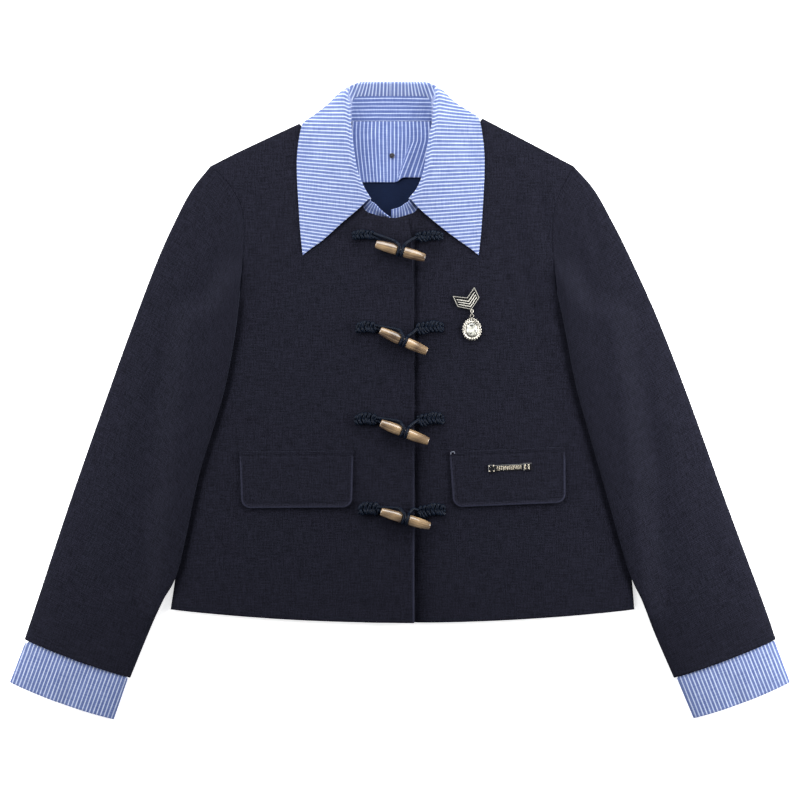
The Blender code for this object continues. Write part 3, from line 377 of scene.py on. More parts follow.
# Creases of the fronts: depth, half width, then the line that each follows
BODY_CREASES = (
    (1.5, 7.0, ((-146, 262), (-147, 225), (-150, 175), (-153, 130), (-160, 88), (-168, 52))),
    (0.9, 6.0, ((-124, 248), (-124, 205), (-128, 150), (-133, 96))),
    (0.6, 8.0, ((-160, 232), (-161, 200), (-160, 170))),
    (1.5, 7.5, ((118, 246), (121, 214), (126, 176), (136, 128), (148, 72), (160, 8))),
    (1.0, 6.5, ((144, 250), (149, 222), (157, 188), (163, 150))),
    (0.8, 7.0, ((104, 214), (108, 170), (116, 120), (124, 84))),
    (0.8, 6.0, ((-44, -44), (-30, -58), (-14, -78), (-4, -100))),
    (0.6, 5.5, ((-50, -62), (-34, -80), (-20, -104))),
    (0.5, 6.0, ((32, -22), (44, -44), (50, -72))),
    (0.5, 10.0, ((-58, -206), (-40, -220), (-24, -224))),
    (0.6, 12.0, ((190, -122), (214, -150), (240, -196))),
    (0.5, 10.0, ((-206, -60), (-192, -110), (-196, -160))),
    (0.5, 9.0, ((-84, 134), (-62, 96), (-56, 50))),
    (-0.5, 13.0, ((88, 70), (92, 10), (96, -34))),
    (-0.5, 15.0, ((-100, 60), (-108, 8), (-112, -40))),
)
# Long low swells of the whole front: length, direction in degrees, height
SWELLS = ((97.0, 12.0, 0.16), (61.0, 74.0, 0.11), (41.0, 131.0, 0.07), (149.0, 100.0, 0.20))


def bell(value, width):
    """1 at 0, falling to both sides as e to the minus square of the widths away."""
    return np.exp(-(np.asarray(value) / width) ** 2)


def crowded(spans):
    """Shares from 0 to 1 that lie closer together towards both ends."""
    return (1 - np.cos(np.pi * even(spans))) / 2


def finer(rows, spans):
    """Rows on cubics through the given ones, with each span between two cut into equal ones."""
    return through(rows, np.arange((len(rows) - 1) * spans + 1) / spans)


def relaxed(patch, times=500):
    """A patch whose inner points have moved, over and over, to the mean of their neighbours along
    and across it, each pair weighted by the other direction's spacing squared, less twice the
    product of the spacings times the twist. That keeps the cells from folding over each other."""
    for _ in range(times):
        after, before = patch[2:, 1:-1], patch[:-2, 1:-1]
        right, left = patch[1:-1, 2:], patch[1:-1, :-2]
        down, across = (after - before) / 2, (right - left) / 2
        twist = (patch[2:, 2:] - patch[2:, :-2] - patch[:-2, 2:] + patch[:-2, :-2]) / 4
        a, b, c = ((one * other).sum(-1, keepdims=True) for one, other in (
            (across, across), (down, down), (down, across)))
        patch[1:-1, 1:-1] = (a * (after + before) + b * (right + left) - 2 * c * twist) / (
            2 * (a + b))
    return patch


def paint_edge_highlight(piece, amount):
    """Marks how much painted edge highlight a cloth piece has at each point of its grid, from 0 to
    1.
    """
    values = piece.data.attributes.new("edge_highlight", "FLOAT", "POINT")
    values.data.foreach_set("value", np.asarray(amount, np.float32).ravel())


def beside(points, line):
    """Each point's distance from a polyline, with the sign of the side that it lies on, and the
    share of the line's length at the nearest place."""
    first, step = line[:-1], np.diff(line, axis=0)
    offset = points[..., None, :] - first
    share = np.clip((offset * step).sum(-1) / (step * step).sum(-1), 0, 1)
    gap = np.linalg.norm(offset - share[..., None] * step, axis=-1)
    pick = gap.argmin(axis=-1)[..., None]
    turn = step[..., 0] * offset[..., 1] - step[..., 1] * offset[..., 0]
    gap, share, turn = (np.take_along_axis(a, pick, -1)[..., 0] for a in (gap, share, turn))
    lengths = shares_of(line)
    return gap * np.sign(turn), lengths[pick[..., 0]] + share * np.diff(lengths)[pick[..., 0]]


def creased(plan, creases):
    """Height that creases add: each is a trough with the section of a bell and a low ridge beside
    it, and fades out towards both ends."""
    height = np.zeros(plan.shape[:-1])
    for depth, width, line in creases:
        away, place = beside(plan, through(line, np.linspace(0, len(line) - 1, 9)))
        fade = np.sin(np.pi * np.clip(place, 0, 1)) ** 0.8
        ridge = RIDGE_HEIGHT * bell(away - RIDGE_AWAY * width, RIDGE_HALF * width)
        height += depth * fade * (ridge - bell(away, width))
    return height


def swelling(plan, swells):
    """Height that swells add: waves of set length and direction, one on another."""
    height = np.zeros(plan.shape[:-1])
    for number, (length, degrees, size) in enumerate(swells):
        run = plan @ (math.cos(math.radians(degrees)), math.sin(math.radians(degrees)))
        height += size * np.sin(2 * np.pi * run / length + 1.7 * number)
    return height


def rise(distance, width):
    """0 at a seam and 1 from the given distance on, steep at first as folded cloth is."""
    q = np.clip(distance / width, 0, 1)
    return (1 - (1 - q) ** 2) ** 0.7


def front_top(plan, over):
    """Top of a front: it rises off the back away from the side and shoulder seams, and the over
    front rises once more over the under one, whose covered edge droops. The over front's free
    edge curls up and its lower corner stands off a little. Beside it the under front sinks."""
    side = np.minimum(*(np.abs(beside(plan, SIDE_LINE[name][::4])[0]) for name in SIDES))
    shoulder = np.minimum(*(SIDES[name] * beside(plan, np.array(SHOULDERS[name]))[0]
                            for name in SIDES))
    x, y = plan[..., 0], plan[..., 1]
    droop = (1 - over) * ramp(x, *DROOP_X)
    rising = rise(side, SIDE_ROUND) * rise(shoulder, SHOULDER_ROUND)
    for name in SIDES:
        pressed = np.abs(beside(plan, np.array(side_of(SLEEVE_INNER, name)))[0])
        rising = rising * (1 - PRESS_SHARE * bell(pressed, SLEEVE_PRESS) * ramp(y, *PRESS_Y))
    curl = (CURL + LOW_CURL * ramp(y, *LOW_CURL_Y)) * ramp(y, *CURL_Y) * ramp(x, *CURL_X)
    corner = CORNER * ramp(x, *CORNER_X) * ramp(y, *CORNER_Y)
    sink = (SINK + LOW_SINK * ramp(y, *LOW_SINK_Y)) * ramp(x, *SINK_X) * ramp(x, *SINK_END_X)
    sink += TROUGH * bell(x - EDGE_X["right"] - TROUGH_AWAY, TROUGH_HALF)
    height = back_top(plan) + SEAM + WOOL + AIR * rising * (1 - droop)
    height += over * ((WOOL + SEAM) * ramp(x, *CLIMB_X) + corner + curl)
    height -= (1 - over) * sink * ramp(y, *SINK_Y)
    return height + rising * (creased(plan, BODY_CREASES) + swelling(plan, SWELLS))


def body_top(plan):
    """Top of whichever front shows, and past a front's edges the height that it would have."""
    return front_top(plan, 1 - ramp(plan[..., 0], EDGE_X["right"] + 1, EDGE_X["right"] + 9))


FRONT_HOLE = {side: smooth(side_of(ARMHOLE_FRONT, side), crowded(11 * FINE)) for side in SIDES}
UNDER_HOLE = {side: smooth(side_of(ARMHOLE_UNDER, side), even(3 * FINE)) for side in SIDES}
for side, sign in SIDES.items():
    over, (flat, area) = float(side == "right"), FRONT_CUT[side]
    near = joined(SIDE_LINE[side], UNDER_HOLE[side][::-1], FRONT_HOLE[side][::-1])
    neck = finer(NECKS[side][::-1], FINE)
    edge_x = EDGE_X[side]
    edge = smooth([hem(edge_x), (edge_x, 0.0), (edge_x - 1.6 * over, 145.0), neck[0]],
                  even(len(near) - len(neck)))
    u = 0.75 * even(100) + 0.25 * crowded(100)
    start = hem(near[0, 0] + (edge_x - near[0, 0]) * u)
    plan = relaxed(spanned(start, along(SHOULDERS[side], u), near, joined(edge, neck), u,
                           shares_of(near)))
    front = new_cloth(f"wool_front_{side}", lifted(plan, front_top(plan, over)), plan, WOOL, wool)
    # The over front's edge gets a painted highlight, the more the lower down
    paint_edge_highlight(front, over * 0.4 * bell(plan[..., 0] - edge_x + 0.4, 1.0) * ramp(plan[..., 1], 20, -200))
    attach(front, "garment")
    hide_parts(f"front_{side}")


# ---------------------------------------------------------------- sleeves
# Two long sleeves of the twill, set in at the armholes and lying flat. Their inner folds lie on
# the sides of the body, and their ends are turned up and blind-stitched.

EDGE_GAP = 0.35  # between the sleeve's edge and the body's at the armhole
SLEEVE_HEIGHT, SLEEVE_EDGE, SLEEVE_END_BOW, SLEEVE_LENGTH = 7.8, 2.6, 2.0, 600.0
# How far the sleeve's underside is raised where it lies on the body, and how far out from there
SLEEVE_ON_BODY, ONTO_BODY = 8.4, (-40.0, -4.0)
# Shares of the length over which the top reaches its own height and its creases their depth
CROWN_SHARE, SEAM_SHARE = 0.12, 0.03
SLEEVE_COLUMNS, SLEEVE_ROWS = 55, 190
SLEEVE_OUTER = ((251.6, -205.2, 187.9), (226.8, -224.6, 209.5), (194.4, -241.9, 227.9),
                (151.2, -261.4, 249.5), (86.4, -286.2, 278.6), (0.0, -317.5, 312.1),
                (-108.0, -355.3, 351.0), (-216.0, -391.0, 391.0), (-258.0, -405.0, 405.5))
# Creases of the sleeves, as for the fronts
SLEEVE_CREASES = {
    "right": (
        (0.9, 9.0, ((-182, 196), (-196, 150), (-214, 104), (-226, 66))),
        (0.7, 6.0, ((-196, 236), (-206, 214), (-222, 196))),
        (0.8, 12.0, ((-236, 120), (-256, 40), (-280, -40), (-300, -110))),
        (0.6, 9.0, ((-208, 10), (-236, -20), (-270, -34))),
        (0.8, 10.0, ((-232, -70), (-262, -100), (-300, -116))),
        (0.6, 8.0, ((-262, -176), (-290, -200), (-330, -204))),
        (0.6, 11.0, ((-330, -120), (-346, -180), (-358, -236))),
        (-0.8, 16.0, ((-226, 160), (-258, 60), (-296, -60), (-330, -190))),
        (0.5, 5.0, ((-300, -270), (-322, -262), (-352, -256))),
    ),
    "left": (
        (0.9, 9.0, ((180, 192), (192, 146), (208, 100), (222, 58))),
        (0.9, 7.0, ((184, 232), (200, 206), (212, 170), (220, 130))),
        (0.8, 12.0, ((232, 100), (252, 30), (276, -50), (296, -120))),
        (0.7, 9.0, ((206, 24), (230, 0), (262, -8))),
        (0.8, 10.0, ((236, -86), (262, -110), (300, -118))),
        (0.6, 8.0, ((262, -170), (296, -186), (330, -184))),
        (0.6, 11.0, ((322, -100), (342, -170), (356, -230))),
        (-0.8, 16.0, ((222, 150), (256, 50), (292, -70), (326, -190))),
        (0.5, 5.0, ((304, -266), (330, -262), (356, -252))),
    ),
}
SLEEVE_SWELLS = ((83.0, 66.0, 0.22), (47.0, 118.0, 0.12), (131.0, 20.0, 0.25), (35.0, 30.0, 0.07))


def unit(vectors):
    """The vectors, each made one long."""
    return vectors / np.linalg.norm(vectors, axis=-1, keepdims=True)


def moved_out(points, distance, sign):
    """A polyline that runs down the body, moved sideways away from the body's middle."""
    run = unit(np.gradient(np.asarray(points, float), axis=0))
    return points + distance * sign * paired(-run[:, 1], run[:, 0])


def flattened(plans, floors, height, edge, shares):
    """A flattened tube's rings: the upper layer is a low arch between the folds, the lower one
    lies flat and turns up to the folds in a tight round."""
    q = np.abs(2 * shares - 1)
    top = floors[0] + edge + (height - edge) * np.sqrt(1 - q**3)
    bottom = floors[1] + edge * (1 - np.sqrt(1 - q**12))
    return np.concatenate([lifted(plans[0], top), lifted(plans[1], bottom)[:, -2:0:-1]], axis=1)


def round_cut(outer, inner, shares, along_it):
    """Each ring's places on the flat cloth: across the upper layer, then across the lower one."""
    width = np.linalg.norm(inner - outer, axis=1)[:, None]
    return paired(width * (np.hstack([shares, 1 + shares[1:]]) - 0.5), along_it)


for side, sign in SIDES.items():
    hole = moved_out(FRONT_HOLE[side], EDGE_GAP, sign)
    behind = moved_out(joined(BACK_HOLE[side], UNDER_HOLE[side][::-1]), 2 * EDGE_GAP, sign)
    behind[0], behind[-1] = hole[0], hole[-1]
    v, u = even(SLEEVE_ROWS), crowded(SLEEVE_COLUMNS)
    outer = smooth([hole[0]] + side_of(SLEEVE_OUTER, side)[1:], v)
    inner = smooth([hole[-1]] + side_of(SLEEVE_INNER, side)[1:], v)
    end = outer[-1] + u[:, None] * (inner[-1] - outer[-1])
    end[:, 1] -= SLEEVE_END_BOW * 4 * u * (1 - u)
    crossing = joined(UNDER_HOLE[side], SIDE_LINE[side][::-1])[::4]
    plans = [spanned(along(start, u), end, outer, inner, u, v) for start in (hole, behind)]
    floors = [SLEEVE_ON_BODY * ramp(sign * -beside(plan, crossing)[0], *ONTO_BODY)
              for plan in plans]
    # The top starts level with the front along the armhole and soon reaches its own height
    seam, fold = body_top(plans[0][0]), floors[0][0, -1] + SLEEVE_EDGE
    seam += (fold - seam) * ramp(u, 0.7, 1.0)
    crown = np.maximum(np.sqrt(1 - np.abs(2 * u - 1) ** 3), 0.25)
    at_seam = (seam - floors[0][0] - SLEEVE_EDGE) / crown + SLEEVE_EDGE
    away = ramp(v, 0.0, CROWN_SHARE)[:, None]
    height = np.maximum(away * SLEEVE_HEIGHT + (1 - away) * at_seam, WOOL + SLEEVE_EDGE)
    soft = creased(plans[0], SLEEVE_CREASES[side]) + swelling(plans[0], SLEEVE_SWELLS)
    height = height + soft * np.minimum(1, 6 * u * (1 - u)) * ramp(v, 0.0, SEAM_SHARE)[:, None]
    grid = flattened(plans, floors, height, SLEEVE_EDGE, u)
    cut = round_cut(outer, inner, u, -SLEEVE_LENGTH * v[:, None])
    sleeve = new_cloth(f"wool_sleeve_{side}", grid, cut, WOOL, wool, tube=True)
    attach(sleeve, "garment")
    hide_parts(f"sleeve_{side}")


# ---------------------------------------------------------------- cuffs
# Shirt cuffs of striped poplin, tacked inside the sleeve ends so that some 45 mm shows. The
# stripes run along the arm, and a row of stitching runs round near the free edge.

SHIRTING = 1.2
STRIPE = 4.05  # from one white stripe to the next
CUFF_EDGE, CUFF_BOW = 1.7, 2.6
CUFF_STITCH, CUFF_PULL = 40.5, 0.35  # the stitching's distance from the sleeve, and its depth
# Outer x and y, then inner x and y, at the sleeve's end and at the cuff's own
CUFF_CORNERS = (
    ("right", (-404.3, -261.5, -293.2, -299.4), (-421.0, -304.5, -308.9, -344.6)),
    ("left", (403.9, -259.0, 298.2, -299.2), (421.0, -304.5, 316.9, -343.4)),
)
# Distance from the sleeve's end, inset of each fold, underside, height
CUFF_SECTIONS = ((-24.0, 5.2, 2.5, 2.5), (-12.0, 5.0, 2.5, 2.5), (-2.2, 3.3, 2.5, 2.5),
                 (0.2, 1.2, 2.3, 3.0), (1.6, 0.1, 1.9, 3.9), (8.0, 0.0, 0.80, 5.4),
                 (18.0, 0.0, 0.30, 5.9), (30.0, 0.0, 0.0, 6.0), (45.8, 0.0, 0.0, 5.4))


def striped_poplin(name, widest, blues, whites):
    """Yarn-dyed cotton poplin: fine white stripes on mid blue, matt, with single threads that
    are a little thicker or paler than the rest. Widest is where a stripe's white ends, as a share
    of the pitch from its middle."""
    material = new_material(name, Roughness=0.82, Specular_IOR_Level=0.25, Sheen_Weight=0.12,
                            Sheen_Roughness=0.5)
    cut = add_node(material, "UVMap", uv_map="cut")["UV"]
    place = add_node(material, "SeparateXYZ", {0: cut})
    pitch = add_node(material, "Math", {0: place["X"], 1: 1000 / STRIPE}, operation="MULTIPLY")[0]
    wander = streaks(material, cut, [(400, 40)], Detail=1.0)
    wander = add_node(material, "MapRange", {"Value": wander, "To Min": -0.05, "To Max": 0.05})[0]
    pitch = add_node(material, "Math", {0: pitch, 1: wander}, operation="ADD")[0]
    swing = add_node(material, "Math", {0: pitch, 1: 0.5}, operation="PINGPONG")[0]
    white = add_node(material, "MapRange", {
        "Value": swing, "From Min": widest, "From Max": widest - 0.075},
        interpolation_type="SMOOTHSTEP")[0]
    # Threads are 0.2 mm apart, drawn 0.7 mm wide so that they show
    threads = streaks(material, cut, [(1400, 60), (60, 1400)], Detail=1.0)
    depth = add_node(material, "MapRange", {"Value": threads, "From Min": 0.7, "From Max": 1.3})[0]
    blue, pale = (add_node(material, "Mix", {0: depth, 6: linear(dark), 7: linear(light)},
                           data_type="RGBA")[2] for dark, light in (blues, whites))
    colour = add_node(material, "Mix", {0: white, 6: blue, 7: pale}, data_type="RGBA")[2]
    bump = add_node(material, "Bump", {"Height": threads, "Strength": 0.25, "Distance": 0.0001})
    return surfaced(material, Base_Color=colour, Normal=bump["Normal"])


poplin = striped_poplin("striped_poplin", 0.200, ("#435180", "#5c6a93"), ("#8e99b5", "#abb4ca"))
# Inside the neck the same poplin is painted darker, with less of the white showing, as painted
# shade
shaded_poplin = striped_poplin("striped_poplin_painted_shade", 0.175, ("#39487a", "#50608e"),
                            ("#838fb2", "#a0abc8"))

for side, mouth, wrist in CUFF_CORNERS:
    mouth, wrist = np.array(mouth), np.array(wrist)
    sections = finer(CUFF_SECTIONS, 8)
    u = crowded(60)
    share = (sections[:, 0] / sections[-1, 0])[:, None]
    across, run = unit(mouth[2:] - mouth[:2]), unit(wrist[:2] - mouth[:2])
    outer = mouth[:2] + share * (wrist[:2] - mouth[:2]) + sections[:, 1:2] * across
    inner = mouth[2:] + share * (wrist[2:] - mouth[2:]) - sections[:, 1:2] * across
    plan = outer[:, None] + u[None, :, None] * (inner - outer)[:, None]
    plan = plan + (CUFF_BOW * np.maximum(share, 0) * 4 * u * (1 - u))[..., None] * run
    soft = 0.5 * bell(u - 0.36 - 0.05 * share, 0.07) - 0.6 * bell(u - 0.62 + 0.08 * share, 0.06)
    stitched = -CUFF_PULL * bell(sections[:, 0:1] - CUFF_STITCH, 0.9)
    height = sections[:, 3:4] + ramp(share, 0.0, 0.4) * soft + stitched
    grid = flattened((plan, plan), (sections[:, 2:3],) * 2, height,
                     np.minimum(CUFF_EDGE, sections[:, 3:4] / 2), u)
    cut = round_cut(outer, inner, u, sections[:, 0:1])
    cuff = new_cloth(f"shirting_cuff_{side}", grid, cut, SHIRTING, poplin, tube=True)
    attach(cuff, "garment")
    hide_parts(f"cuff_{side}")


# ---------------------------------------------------------------- collar
# A pointed shirt collar of the same poplin. Its two leaves lie on the fronts, and behind the neck
# it is rolled over and folded under the back. A row of stitching runs inside its edges.

COLLAR_X = -10.0  # the collar's middle
# Sections from the front to the middle of the back: h from the collar's middle, y and z of the
# seam inside the neck, the knee, the stand's top, the ridge and the edge, and then the h and y
# that it is folded under to
COLLAR = (
    ((30.0, 203.0, 4.3), (26.4, 207.4, 4.7), (19.4, 214.9, 10.6), (20.1, 216.4, 12.6),
     (94.7, 155.8, 8.7), None),
    ((34.0, 222.0, 4.3), (29.8, 224.0, 4.7), (26.0, 226.0, 11.2), (26.8, 228.5, 15.0),
     (97.4, 182.0, 8.7), None),
    ((38.5, 242.0, 4.3), (34.6, 243.0, 4.7), (33.8, 244.5, 12.0), (34.8, 247.0, 17.0),
     (99.2, 211.0, 8.7), None),
    ((42.3, 262.0, 4.3), (38.4, 262.5, 4.8), (38.0, 263.5, 12.5), (39.2, 265.5, 18.3),
     (100.8, 240.0, 8.7), None),
    ((44.0, 281.0, 5.0), (41.2, 281.0, 5.7), (40.6, 281.0, 12.5), (41.6, 283.0, 18.8),
     (100.8, 264.0, 8.7), None),
    ((42.4, 295.0, 5.0), (42.0, 296.0, 6.4), (41.8, 297.0, 12.0), (42.8, 299.5, 18.6),
     (98.2, 286.0, 10.0), None),
    ((42.0, 299.0, 4.9), (41.9, 302.5, 6.6), (41.6, 307.0, 11.5), (43.2, 309.5, 18.1),
     (94.6, 300.8, 9.2), None),
    ((41.0, 300.5, 4.8), (41.3, 306.5, 6.7), (41.2, 312.5, 11.2), (43.4, 316.5, 17.6),
     (92.2, 303.4, 8.2), (91.0, 301.5)),
    ((38.5, 300.6, 4.7), (39.3, 310.0, 6.7), (39.9, 319.5, 10.7), (43.2, 326.0, 17.0),
     (85.2, 307.8, 7.8), (83.0, 295.0)),
    ((35.0, 300.6, 4.6), (36.2, 312.0, 6.6), (37.4, 324.0, 10.2), (42.2, 332.5, 16.5),
     (69.0, 318.8, 7.8), (70.0, 292.5)),
    ((30.0, 300.7, 4.5), (31.6, 313.0, 6.5), (33.5, 326.4, 9.7), (38.8, 337.4, 15.9),
     (52.0, 332.4, 8.4), (55.0, 292.5)),
    ((23.0, 300.7, 4.5), (24.6, 313.5, 6.4), (26.0, 327.0, 9.2), (30.5, 338.6, 15.2),
     (34.0, 341.6, 8.4), (38.0, 294.0)),
    ((12.0, 300.7, 4.5), (12.8, 313.8, 6.3), (13.5, 327.2, 8.8), (15.5, 339.2, 15.0),
     (17.0, 342.4, 8.4), (18.0, 296.0)),
    ((0.0, 300.7, 4.5), (0.0, 313.8, 6.3), (0.0, 327.2, 8.6), (0.0, 339.4, 15.0),
     (0.0, 342.6, 8.4), (0.0, 297.0)),
)
# The wearer's left leaf lies this much further up the shoulder and the right one as much lower,
# growing over these distances from the collar's middle and these y
COLLAR_TILT, TILT_H, TILT_Y = 2.8, (45.0, 90.0), (240.0, 300.0)
# How much wider the neck lies open than the sections say: y, on the wearer's right, on the left
COLLAR_SPREAD = ((205.0, 4.0, 0.0), (216.0, 5.0, 1.2), (228.0, 3.6, 3.8), (247.0, 2.0, 1.8),
                 (265.0, 1.0, 0.0), (283.0, 0.8, 1.0), (299.0, 0.9, 2.8), (316.0, 1.6, 3.8),
                 (327.0, 2.2, 4.4), (335.0, 1.6, 5.0), (341.0, 0.5, 6.5), (350.0, 0.0, 6.5))
# Level of the part folded behind, and how far inside the edge the fold's round starts
UNDERSIDE_Z, FOLD_ROUND = 0.62, 3.2
LEAF_HOLLOW, LEAF_WAVE = 2.8, 0.35  # depth of the hollow in a leaf's front edge, its waves' height
# The leaves' stitching: distance from the edge and depth. The roll outside it likewise.
LEAF_STITCH, LEAF_PULL, LEAF_ROLL, LEAF_ROLL_HEIGHT = 5.5, 0.30, 2.6, 0.30
# Shares of the way from ridge to edge at which a leaf, and a folded part, have their points
RUN_OPEN = np.array((0.12, 0.4, 0.72, 0.9, 0.935, 0.96, 0.98, 1.0))
RUN_FOLDED = np.array((0.15, 0.45, 0.75))
ACROSS_COLLAR, ALONG_COLLAR = 7, 8  # spans of the mesh to each span across and along
# Slope of the stripes on each leaf: y, rise with each step outwards
LEAF_SLOPES = (((175, 313), (-0.195, -0.03)), ((175, 290, 325), (-0.12, 0.0, 0.2)))
# Behind the neck the stripes fan out from this y, with the distance from the collar's middle and
# more on one side than the other
FAN_Y, FAN, FAN_SIDES = 326.0, 0.42, (0.05, -0.02)
# A stripe's shift where it bends over the ridge
RIDGE_SHIFT, RIDGE_BEND = 2.2, 3.0


def collar_section(row):
    """Ten points across the collar, from the stand's top round to its edge. Where it is folded
    under, the last five turn down round the edge and back below the body."""
    top, ridge, edge = (np.array(point) for point in row[2:5])
    end, shares, turn = edge, RUN_OPEN, np.empty((0, 3))
    if row[5] is not None:
        under = np.array((*row[5], UNDERSIDE_Z))
        out = (edge - ridge) * (1, 1, 0)
        out *= min(FOLD_ROUND / np.linalg.norm(out), 0.5)
        back_run = (under - edge) * (1, 1, 0)
        back_run *= min(FOLD_ROUND / np.linalg.norm(back_run), 0.6)
        drop = np.array((0, 0, edge[2] - UNDERSIDE_Z))
        turn = np.vstack([edge - out, edge - 0.2 * out - 0.25 * drop,
                          edge + 0.2 * back_run - 0.75 * drop, edge + back_run - drop, under])
        end, shares = edge - out, RUN_FOLDED
    run = ridge + shares[:, None] * (end - ridge)
    run[:, 2] = end[2] + (ridge[2] - end[2]) * (1 - shares) ** 1.5
    return np.vstack([top, ridge, run, turn])


def spread(h, y, sign):
    """How far the collar's inner parts lie outside their sections on one side."""
    table = np.array(COLLAR_SPREAD)
    inner = ramp(h, 5, 34) * ramp(h, 76, 46)
    return np.interp(y, table[:, 0], table[:, 1 if sign < 0 else 2]) * inner


def whole_collar(rows):
    """Sections of one side, each (h, y, z), carried on round the back of the neck to the other
    side, with each side's own spread and tilt."""
    halves = []
    for sign in (-1, 1):
        half = np.array(rows, float)
        half[..., 0] += spread(half[..., 0], half[..., 1], sign)
        half[..., 1] += (sign * COLLAR_TILT * ramp(half[..., 0], *TILT_H)
                         * ramp(half[..., 1], *TILT_Y))
        half[..., 0] = COLLAR_X + sign * half[..., 0]
        halves.append(half)
    return np.concatenate([halves[0], halves[1][-2::-1]])


def finer_sheet(rows, along_it, across_it):
    """A grid on cubics through rows of points, and each grid row's number, counted in the given
    rows from the nearer end."""
    fine = finer(finer(rows, along_it).swapaxes(0, 1), across_it).swapaxes(0, 1)
    number = np.arange(len(fine)) / along_it
    return fine, np.minimum(number, len(rows) - 1 - number)[:, None]


sections = whole_collar([collar_section(row) for row in COLLAR])
grid, row = finer_sheet(sections, ALONG_COLLAR, ACROSS_COLLAR)
column = np.arange(grid.shape[1])[None] / ACROSS_COLLAR
hollow = bell(row, 0.9) * ramp(column, 1.0, 2.5) * ramp(column, 5.0, 3.0)
grid[..., 1] -= LEAF_HOLLOW * hollow
h, y = np.abs(grid[..., 0] - COLLAR_X), grid[..., 1]
# The leaves lie on the fronts and never in them
on_front = body_top(grid[..., :2]) + SEAM + SHIRTING / 2 + 0.15
over_front = ((row <= 6) | (column < 6)) & (row <= 8) & (column > 1)
grid[..., 2] = np.where(over_front, np.maximum(grid[..., 2], on_front), grid[..., 2])
# Stitching pulls the leaves in beside their front and outer edges, and they wave a little
end_line, outer_line = grid[0, ACROSS_COLLAR:, :2], grid[: 7 * ALONG_COLLAR, -1, :2]
leaf_edge = joined(end_line[::6], outer_line[::6])
from_edge = np.abs(beside(paired(COLLAR_X - h, y), leaf_edge)[0])
leaf = ramp(column, 1.6, 2.2) * ramp(row, 7.2, 6.2)
grid[..., 2] += leaf * (LEAF_ROLL_HEIGHT * bell(from_edge - LEAF_ROLL, 1.7)
                        - LEAF_PULL * bell(from_edge - LEAF_STITCH, 0.8))
grid[..., 2] += leaf * LEAF_WAVE * np.sin(h / 9.0 + y / 14.0) * ramp(from_edge, 6, 20)
grid[..., 2] = np.maximum(grid[..., 2], UNDERSIDE_Z)
# Stripes lie across the leaves, bend down over the ridge, and fan out behind the neck
on_right = grid[..., 0] < COLLAR_X
slope = np.where(on_right, *(np.interp(y, *slopes) for slopes in LEAF_SLOPES))
ridge = grid[:, ACROSS_COLLAR]
ridge_h = np.abs(ridge[:, :1] - COLLAR_X)
from_ridge = np.linalg.norm((grid - ridge[:, None])[..., :2], axis=-1)
across_leaf = y + slope * (h - ridge_h) + RIDGE_SHIFT * bell(from_ridge, RIDGE_BEND)
behind = -h - (FAN * ramp(h, 8, 40) + np.where(on_right, *FAN_SIDES)) * (y - FAN_Y)
for side in (on_right, ~on_right):
    at_corner = (np.abs(row - 10.0) < 0.01) & (column == 1) & side
    behind += np.where(side, (across_leaf - behind)[at_corner].mean(), 0.0)
# Inside the ridge they turn at the neck's corner, and outside it further round
turning = np.where(column <= 1, ramp(row, 7.4, 8.2), ramp(row, 9.8, 11.2))
stripe = across_leaf + (behind - across_leaf) * turning
cut = paired(stripe, h)
collar = new_cloth("shirting_collar", grid, cut, SHIRTING, poplin, both_ways=True)
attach(collar, "garment")
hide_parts("collar_fall")


# ---------------------------------------------------------------- collar stand
# The band that the collar is folded from. It stands inside the neckline, shows behind the neck
# with its stripes lengthwise, and its two ends show in front below the leaves.

STAND_GAP = 0.3  # between its top and the ridge of the collar
STAND_TILT = 4.2  # how much higher its left end stands, and its right end lower
ALONG_STAND, ACROSS_STAND = 6, 8  # spans of the mesh to each span
# The stand's ends in front of the collar's first section: seam, knee and top, each h, y, z
STAND_ENDS = (
    ((0.5, 191.6, 4.3), (0.5, 195.4, 4.7), (0.5, 200.6, 8.6)),
    ((10.0, 193.0, 4.3), (10.0, 198.4, 4.7), (9.5, 205.4, 9.4)),
    ((20.0, 196.4, 4.3), (18.6, 203.4, 4.7), (15.4, 211.2, 9.9)),
)

rows = list(STAND_ENDS)
for seam_point, knee, top, *_ in COLLAR:
    rows.append((seam_point, knee, top + STAND_GAP * unit(np.array(knee) - top)))
rows = whole_collar([(a, b, (np.array(b) + c) / 2, c) for a, b, c in rows])
# In front, its left end stands higher than its right one
rising = ramp(np.abs(rows[..., 0] - COLLAR_X), 18.0, 0.0) * ramp(np.arange(4.0), 0.5, 3.0)
rows[..., 1] += STAND_TILT * rising * np.sign(rows[..., 0] - COLLAR_X) * (rows[..., 1] < 230)
grid, row = finer_sheet(rows, ALONG_STAND, ACROSS_STAND)
# The stripes run up the band in front and turn to run along it behind
middle_line = grid[:, grid.shape[1] // 2]
lengths = np.cumsum(np.linalg.norm(np.diff(middle_line, axis=0, prepend=middle_line[:1]), axis=1))
heights = np.cumsum(np.linalg.norm(np.diff(grid, axis=1, prepend=grid[:, :1]), axis=2), axis=1)
lengthwise = ramp(row, 3.5, 6.5)
stripe = (1 - lengthwise) * lengths[:, None] * 1.2 + lengthwise * heights
cut = paired(stripe, lengths[:, None])
# The stand's cloth is the poplin painted darker, as painted shade
stand = new_cloth("shirting_stand", grid, cut, SHIRTING, shaded_poplin, both_ways=True)
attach(stand, "garment")
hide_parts("collar_stand")


# ---------------------------------------------------------------- shirt flap and snap
# A flap of the poplin that hangs from the stand inside the back, with a stepped lower edge and
# one small soft pleat. A press stud in its middle holds it.

